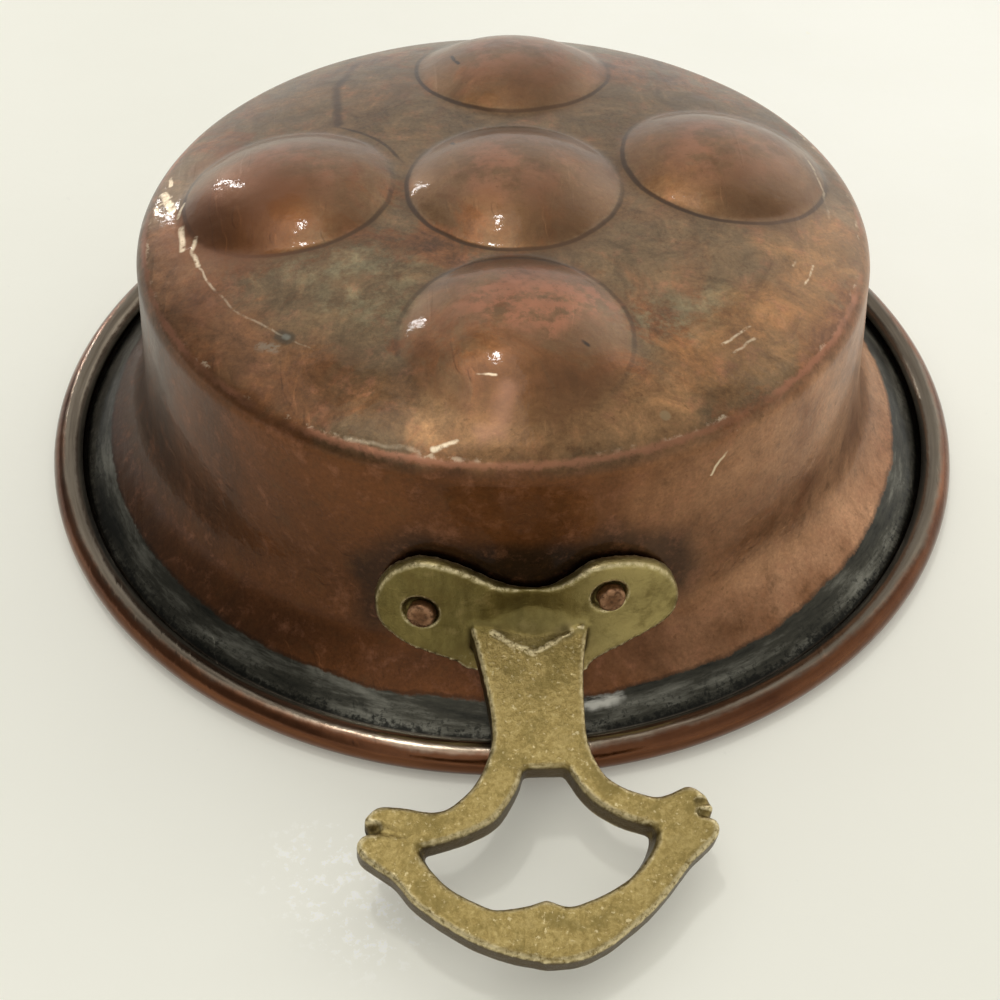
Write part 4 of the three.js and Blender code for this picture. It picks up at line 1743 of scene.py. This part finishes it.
@dataclass(frozen=True)
class CastBrass:
    """Sand-cast brass: olive gold, darker in its hollows, bright on its worn edges; painted shade on its
    sides and in its dip, painted highlights on its ridge, grain and right wing.
    """

    dull: Colour = (0.175, 0.130, 0.040)
    light: Colour = (0.420, 0.325, 0.135)
    bright: Colour = (0.800, 0.680, 0.400)
    cast_tones: tuple[Stop, ...] = (
        (0.30, (0.190, 0.134, 0.042)), (0.50, (0.315, 0.234, 0.082)), (0.72, (0.500, 0.390, 0.165)),
    )
    filed_tones: tuple[Stop, ...] = ((0.25, (0.130, 0.100, 0.030)), (0.75, (0.270, 0.215, 0.072)))
    filed_reflection: Colour = (0.470, 0.380, 0.150)
    dip_shade: Colour = (0.085, 0.066, 0.020)
    flank_shade: Colour = (0.045, 0.025, 0.009)
    dirt_and_shade: Colour = (0.040, 0.028, 0.010)
    metal: float = 0.95
    nook_shade: tuple[Point, ...] = (
        (-0.0052, -0.0518, 0.0180), (-0.0035, -0.0528, 0.0173), (0.0, -0.0543, 0.0168),
        (0.0035, -0.0528, 0.0173), (0.0052, -0.0518, 0.0180),
    )
    dip: tuple[Point, ...] = (
        (-0.0030, -0.0515, 0.0222), (-0.0010, -0.0525, 0.0200), (0.0010, -0.0535, 0.0186),
    )
    crest_highlight: tuple[Point, ...] = (
        (-0.0062, -0.0516, 0.0184), (-0.0035, -0.05354, 0.0180), (0.0, -0.0553, 0.0177),
        (0.0035, -0.05354, 0.0180), (0.0062, -0.0516, 0.0184),
    )
    cracks: tuple[tuple[Point, Point], ...] = (
        ((-0.0268, -0.0826, 0.0147), (-0.0244, -0.0830, 0.0145)),
        ((0.0262, -0.0820, 0.0120), (0.0222, -0.0819, 0.0122)),
        ((0.0255, -0.0800, 0.0125), (0.0222, -0.0803, 0.0126)),
    )

    def material(self) -> Material:
        """The casting's material."""
        s = Shader("cast_brass")
        grain = s.noise(0.0008, 6.0, 0.76, 0.3)
        patches = s.noise(0.0050, 5.0, 0.65)
        plate = s.step(s.axes["Y"], -0.0530, -0.0505)
        cast = s.ramp(grain, self.cast_tones)
        # Bright flecks on the cast grain: painted glints.
        glint_flecks = s.step(s.noise(0.0007, 3.0, 0.6, seed=0.7), 0.60, 0.68, 0.75)
        cast = s.blend(s.times(glint_flecks, s.step(patches, 0.38, 0.60)), cast, self.bright)
        filed = s.noise(0.0016, 4.0, 0.65, 0.0, (1.0, 1.0, 0.18), 0.0, 0.4)
        smooth = s.ramp(filed, self.filed_tones)
        # The plate pales towards its right wing: painted reflection.
        smooth = s.blend(s.step(s.axes["X"], -0.002, 0.016, 0.8), smooth, self.filed_reflection)
        colour = s.blend(plate, cast, smooth)
        colour = s.blend(s.step(patches, 0.48, 0.68, 0.70), colour, self.dull)
        colour = s.blend(s.step(patches, 0.46, 0.30, 0.45), colour, self.light)
        # Duller towards the right of the loop.
        duller_right = s.times(s.step(s.axes["X"], 0.010, 0.026), s.step(s.axes["Y"], -0.070, -0.078), 0.30)
        colour = s.blend(duller_right, colour, self.dull)
        loose = s.shaken(0.003, 0.0006, 3.0)
        # Painted shade in the nook above the V ridge and down the dip in the plate.
        colour = s.marked(colour, (
            Mark(self.dirt_and_shade, 0.70, 0.0004, 0.0014, self.nook_shade),
            Mark(self.dip_shade, 0.50, 0.0010, 0.0032, self.dip),
        ), loose)
        # Painted highlight along the V ridge where the stem leaves the plate.
        crest_highlight = s.line(self.crest_highlight, 0.0002, 0.0005, loose)
        colour = s.blend(s.times(crest_highlight, s.step(grain, 0.36, 0.56), 0.75), colour, self.bright)
        # Dark lines in the horns' notches: painted shade, with dirt.
        colour = s.marked(colour, (Mark(self.dirt_and_shade, 0.65, 0.0002, 0.0009, crack) for crack in self.cracks))
        # Painted shade on the sides of the stem and loop, which turn away from the light above.
        colour = s.blend(s.times(s.attribute("flank_shade"), 0.85), colour, self.flank_shade)
        hollow = s.step(s.attribute("hollow"), 0.15, 1.1, 0.85)
        colour = s.blend(hollow, colour, self.dirt_and_shade)
        wear = s.times(s.step(s.attribute("ridge"), 0.10, 0.45), s.step(grain, 0.34, 0.56), 0.9)
        colour = s.blend(wear, colour, self.bright)
        normal = s.relief(grain, 0.00010)
        normal = s.relief(s.noise(0.00040, 3.0, 0.6), 0.00002, normal)
        return s.finish(colour, s.scaled(grain, 0.25, 0.25), self.metal, normal)


@dataclass(frozen=True)
class RivetCopper:
    """Hammered copper ends, dark round their edges."""

    face: Colour = (0.240, 0.116, 0.056)
    edge: Colour = (0.090, 0.044, 0.022)
    worn: Colour = (0.440, 0.245, 0.135)
    metal: float = 0.85

    def material(self) -> Material:
        """The rivets' material."""
        s = Shader("rivet_copper")
        grain = s.noise(0.0009, 4.0, 0.65)
        colour = s.ramp(grain, [(0.3, self.edge), (0.65, self.face)])
        # Bright ring round the end's edge: wear, partly a painted highlight.
        colour = s.blend(s.times(s.attribute("worn"), s.step(grain, 0.36, 0.58), 0.8), colour, self.worn)
        return s.finish(colour, s.scaled(grain, 0.3, 0.3), self.metal, s.relief(grain, 0.00008))


@dataclass(frozen=True)
class WipedTin:
    """Dull grey tin with wipe marks and brown stains."""

    pale: Colour = (0.42, 0.41, 0.38)
    dark: Colour = (0.16, 0.15, 0.13)
    stain: Colour = (0.20, 0.14, 0.09)
    metal: float = 0.8

    def material(self) -> Material:
        """The lining's material."""
        s = Shader("wiped_tin")
        smear = s.noise(0.012, 5.0, 0.6, 0.8, (1.0, 0.5, 1.0), 0.6)
        colour = s.ramp(smear, [(0.32, self.dark), (0.62, self.pale)])
        colour = s.blend(s.step(s.noise(0.020, 5.0, 0.7, seed=0.4), 0.52, 0.7, 0.6), colour, self.stain)
        fine = s.noise(0.0016, 4.0, 0.6)
        return s.finish(colour, s.scaled(smear, 0.25, 0.32), self.metal, s.relief(fine, 0.00005))


@dataclass(frozen=True)
class DrawnIron:
    """Dark iron wire with spots of rust."""

    steel: Colour = (0.070, 0.062, 0.055)
    rust: Colour = (0.160, 0.070, 0.030)
    metal: float = 0.7

    def material(self) -> Material:
        """The wire's material."""
        s = Shader("drawn_iron")
        spots = s.noise(0.004, 5.0, 0.7)
        colour = s.blend(s.step(spots, 0.45, 0.65), self.steel, self.rust)
        return s.finish(colour, s.scaled(spots, 0.3, 0.45), self.metal, s.relief(spots, 0.00008))


@dataclass(frozen=True)
class Lamp:
    """A rectangular lamp that faces the pan."""

    name: str
    place: Point
    along: Point
    size: Pair
    watts: float
    aim: float = 0.03

    def hang(self) -> None:
        """Puts the lamp in its place, with its long side along its direction."""
        light = bpy.data.lights.new(self.name, "AREA")
        light.shape = "RECTANGLE"
        light.size, light.size_y = self.size
        light.energy = self.watts
        away = (Vector(self.place) - AXIS - UPWARDS * self.aim).normalized()
        along = Vector(self.along)
        along = (along - away * away.dot(along)).normalized()
        lamp = bpy.data.objects.new(self.name, light)
        lamp.location = self.place
        lamp.rotation_euler = Matrix((along, away.cross(along), away)).transposed().to_euler()
        bpy.context.scene.collection.objects.link(lamp)


@dataclass(frozen=True)
class Studio:
    """Pale table, soft light and the camera at the photograph's place."""

    camera_place: Point = (-0.015778, -0.207475, 0.206334)
    camera_turn: Point = (44.573, -0.2293, -3.684)
    lens: float = 56.48
    sensor: float = 36.0
    nearest: float = 0.01
    overhead: Lamp = Lamp("overhead", (-0.21, 0.26, 1.57), (0.0, 1.0, 0.0), (0.16, 0.07), 2.4)
    window: Lamp = Lamp("window", (-0.96, 1.62, 0.69), (0.171, -0.286, 0.943), (0.62, 0.022), 2.3)
    table_half: float = 1.6
    table_colour: Colour = (0.88, 0.87, 0.79)
    table_shaded: Colour = (0.80, 0.79, 0.70)
    table_cloud: Colour = (0.74, 0.73, 0.64)
    table_speck: Colour = (0.68, 0.67, 0.60)
    table_glint: Colour = (0.96, 0.96, 0.92)
    table_glow: float = 0.19
    sky: Colour = (1.0, 0.99, 0.955)
    front: float = 0.72
    back: float = 0.96
    window_gain: float = 0.80
    panel_gain: float = 0.90
    shade_share: float = 0.28
    beam_share: float = 0.60
    side_share: float = 0.74

    def build(self) -> None:
        """Sets up table, lamps, world and camera."""
        self.table()
        self.world()
        self.overhead.hang()
        self.window.hang()
        self.camera()
        bpy.context.scene.view_settings.view_transform = "Standard"

    def table(self) -> None:
        """The table top, a pale painted board with faint marks, painted light and glints, and a faint glow
        that lightens its shadows.
        """
        form = bmesh.new()
        bmesh.ops.create_grid(form, x_segments=1, y_segments=1, size=self.table_half)
        mesh = bpy.data.meshes.new("table_top")
        form.to_mesh(mesh)
        form.free()
        top = bpy.data.objects.new("table_top", mesh)
        bpy.context.scene.collection.objects.link(top)
        s = Shader("pale_table")
        cloud = s.noise(0.05, 5.0, 0.6)
        # Paler towards the right and back: painted light.
        lit = s.times(s.step(s.axes["X"], -0.10, 0.10), s.step(s.axes["Y"], -0.06, 0.12))
        colour = s.blend(lit, self.table_shaded, self.table_colour)
        colour = s.blend(s.step(cloud, 0.35, 0.7, 0.15), colour, self.table_cloud)
        specks = s.step(s.noise(0.004, 3.0, 0.7, seed=0.8), 0.70, 0.74, 0.30)
        colour = s.blend(specks, colour, self.table_speck)
        # Painted glints in the board's paint.
        glint_specks = s.times(s.stroke((-0.034, -0.081, 0.0), (-0.026, -0.089, 0.0), 0.003, 0.010),
                         s.step(s.noise(0.0016, 4.0, 0.7, seed=1.1), 0.54, 0.62))
        colour = s.blend(s.times(glint_specks, 0.55), colour, self.table_glint)
        # A faint glow in the board's own colour lightens its shadows: painted light.
        s.feed(s.surface.inputs["Emission Color"], colour)
        s.surface.inputs["Emission Strength"].default_value = self.table_glow
        top.data.materials.append(s.finish(colour, 0.45, 0.0, s.relief(s.noise(0.01, 4.0), 0.0001)))

    def world(self) -> None:
        """Soft light of a room, bright overhead and behind on the right, dim over the right shoulder."""
        world = bpy.data.worlds.new("studio")
        world.use_nodes = True
        t = Tree(world.node_tree)
        background = world.node_tree.nodes["Background"]
        t.feed(background.inputs["Color"], self.sky)
        split = t.node("ShaderNodeSeparateXYZ")
        t.feed(split.inputs[0], t.node("ShaderNodeTexCoord").outputs["Generated"])
        x, y, z = (split.outputs[axis] for axis in "XYZ")
        level = t.math("ADD", t.step(y, -0.35, 0.15, self.back - self.front), self.front)
        window = t.times(t.step(x, 0.32, 0.58), t.step(y, 0.25, 0.45), t.step(z, 0.12, 0.35))
        level = t.raised(level, window, self.window_gain)
        panel = t.times(t.step(x, 0.09, 0.02), t.step(x, -0.42, -0.30), t.step(y, -0.45, -0.25))
        panel = t.times(panel, t.step(y, 0.30, 0.18), t.step(z, 0.2, 0.4))
        level = t.raised(level, panel, self.panel_gain)
        above = t.step(z, 0.30, 0.55)
        shade = t.times(t.step(x, 0.03, 0.11), t.step(y, 0.40, 0.24), above)
        level = t.dimmed(level, shade, self.shade_share)
        beam = t.times(t.band(x, -0.22, 0.08, 0.10), t.band(y, 0.40, 0.07, 0.08), above)
        level = t.dimmed(level, beam, self.beam_share)
        side = t.times(t.step(x, -0.40, -0.60), t.step(z, 0.05, 0.25))
        level = t.dimmed(level, side, self.side_share)
        t.feed(background.inputs["Strength"], level)
        bpy.context.scene.world = world

    def camera(self) -> None:
        """The camera of the photograph."""
        data = bpy.data.cameras.new("camera")
        data.lens = self.lens
        data.sensor_width = self.sensor
        data.clip_start = self.nearest
        camera = bpy.data.objects.new("camera", data)
        camera.location = self.camera_place
        camera.rotation_euler = [math.radians(angle) for angle in self.camera_turn]
        bpy.context.scene.collection.objects.link(camera)
        bpy.context.scene.camera = camera


def dress(piece: Piece, material: Material) -> None:
    """Gives a piece its one material."""
    piece.data.materials.clear()
    piece.data.materials.append(material)


def main() -> None:
    """Builds and dresses the pan, piece by piece."""
    logging.basicConfig(level=logging.INFO, format="%(message)s")
    pan = PanForm()
    body = PanBody(pan)
    handle_form = HandleForm(pan)
    rivets = [
        Rivet("left_rivet", "rivet_left", -0.68, 0.445, handle_form),
        Rivet("right_rivet", "rivet_right", 0.495, 0.592, handle_form),
    ]
    shell = body.shell()
    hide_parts("pan_shell")
    dress(shell, TarnishedCopper().material(pan))
    lining = body.lining()
    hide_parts("tin_lining")
    dress(lining, WipedTin().material())
    bores = [rivet.bore() for rivet in rivets]
    handle = Handle(handle_form).build(bores)
    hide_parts("handle")
    dress(handle, CastBrass().material())
    copper = RivetCopper().material()
    pieces = [shell, lining, handle]
    for rivet in rivets:
        piece = rivet.build()
        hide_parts(rivet.node)
        dress(piece, copper)
        pieces.append(piece)
    dress(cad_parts["rim_wire"], DrawnIron().material())
    for piece in pieces:
        log.info("%s: %d faces", piece.name, len(piece.data.polygons))
    Studio().build()


if __name__ == "__main__":
    main()
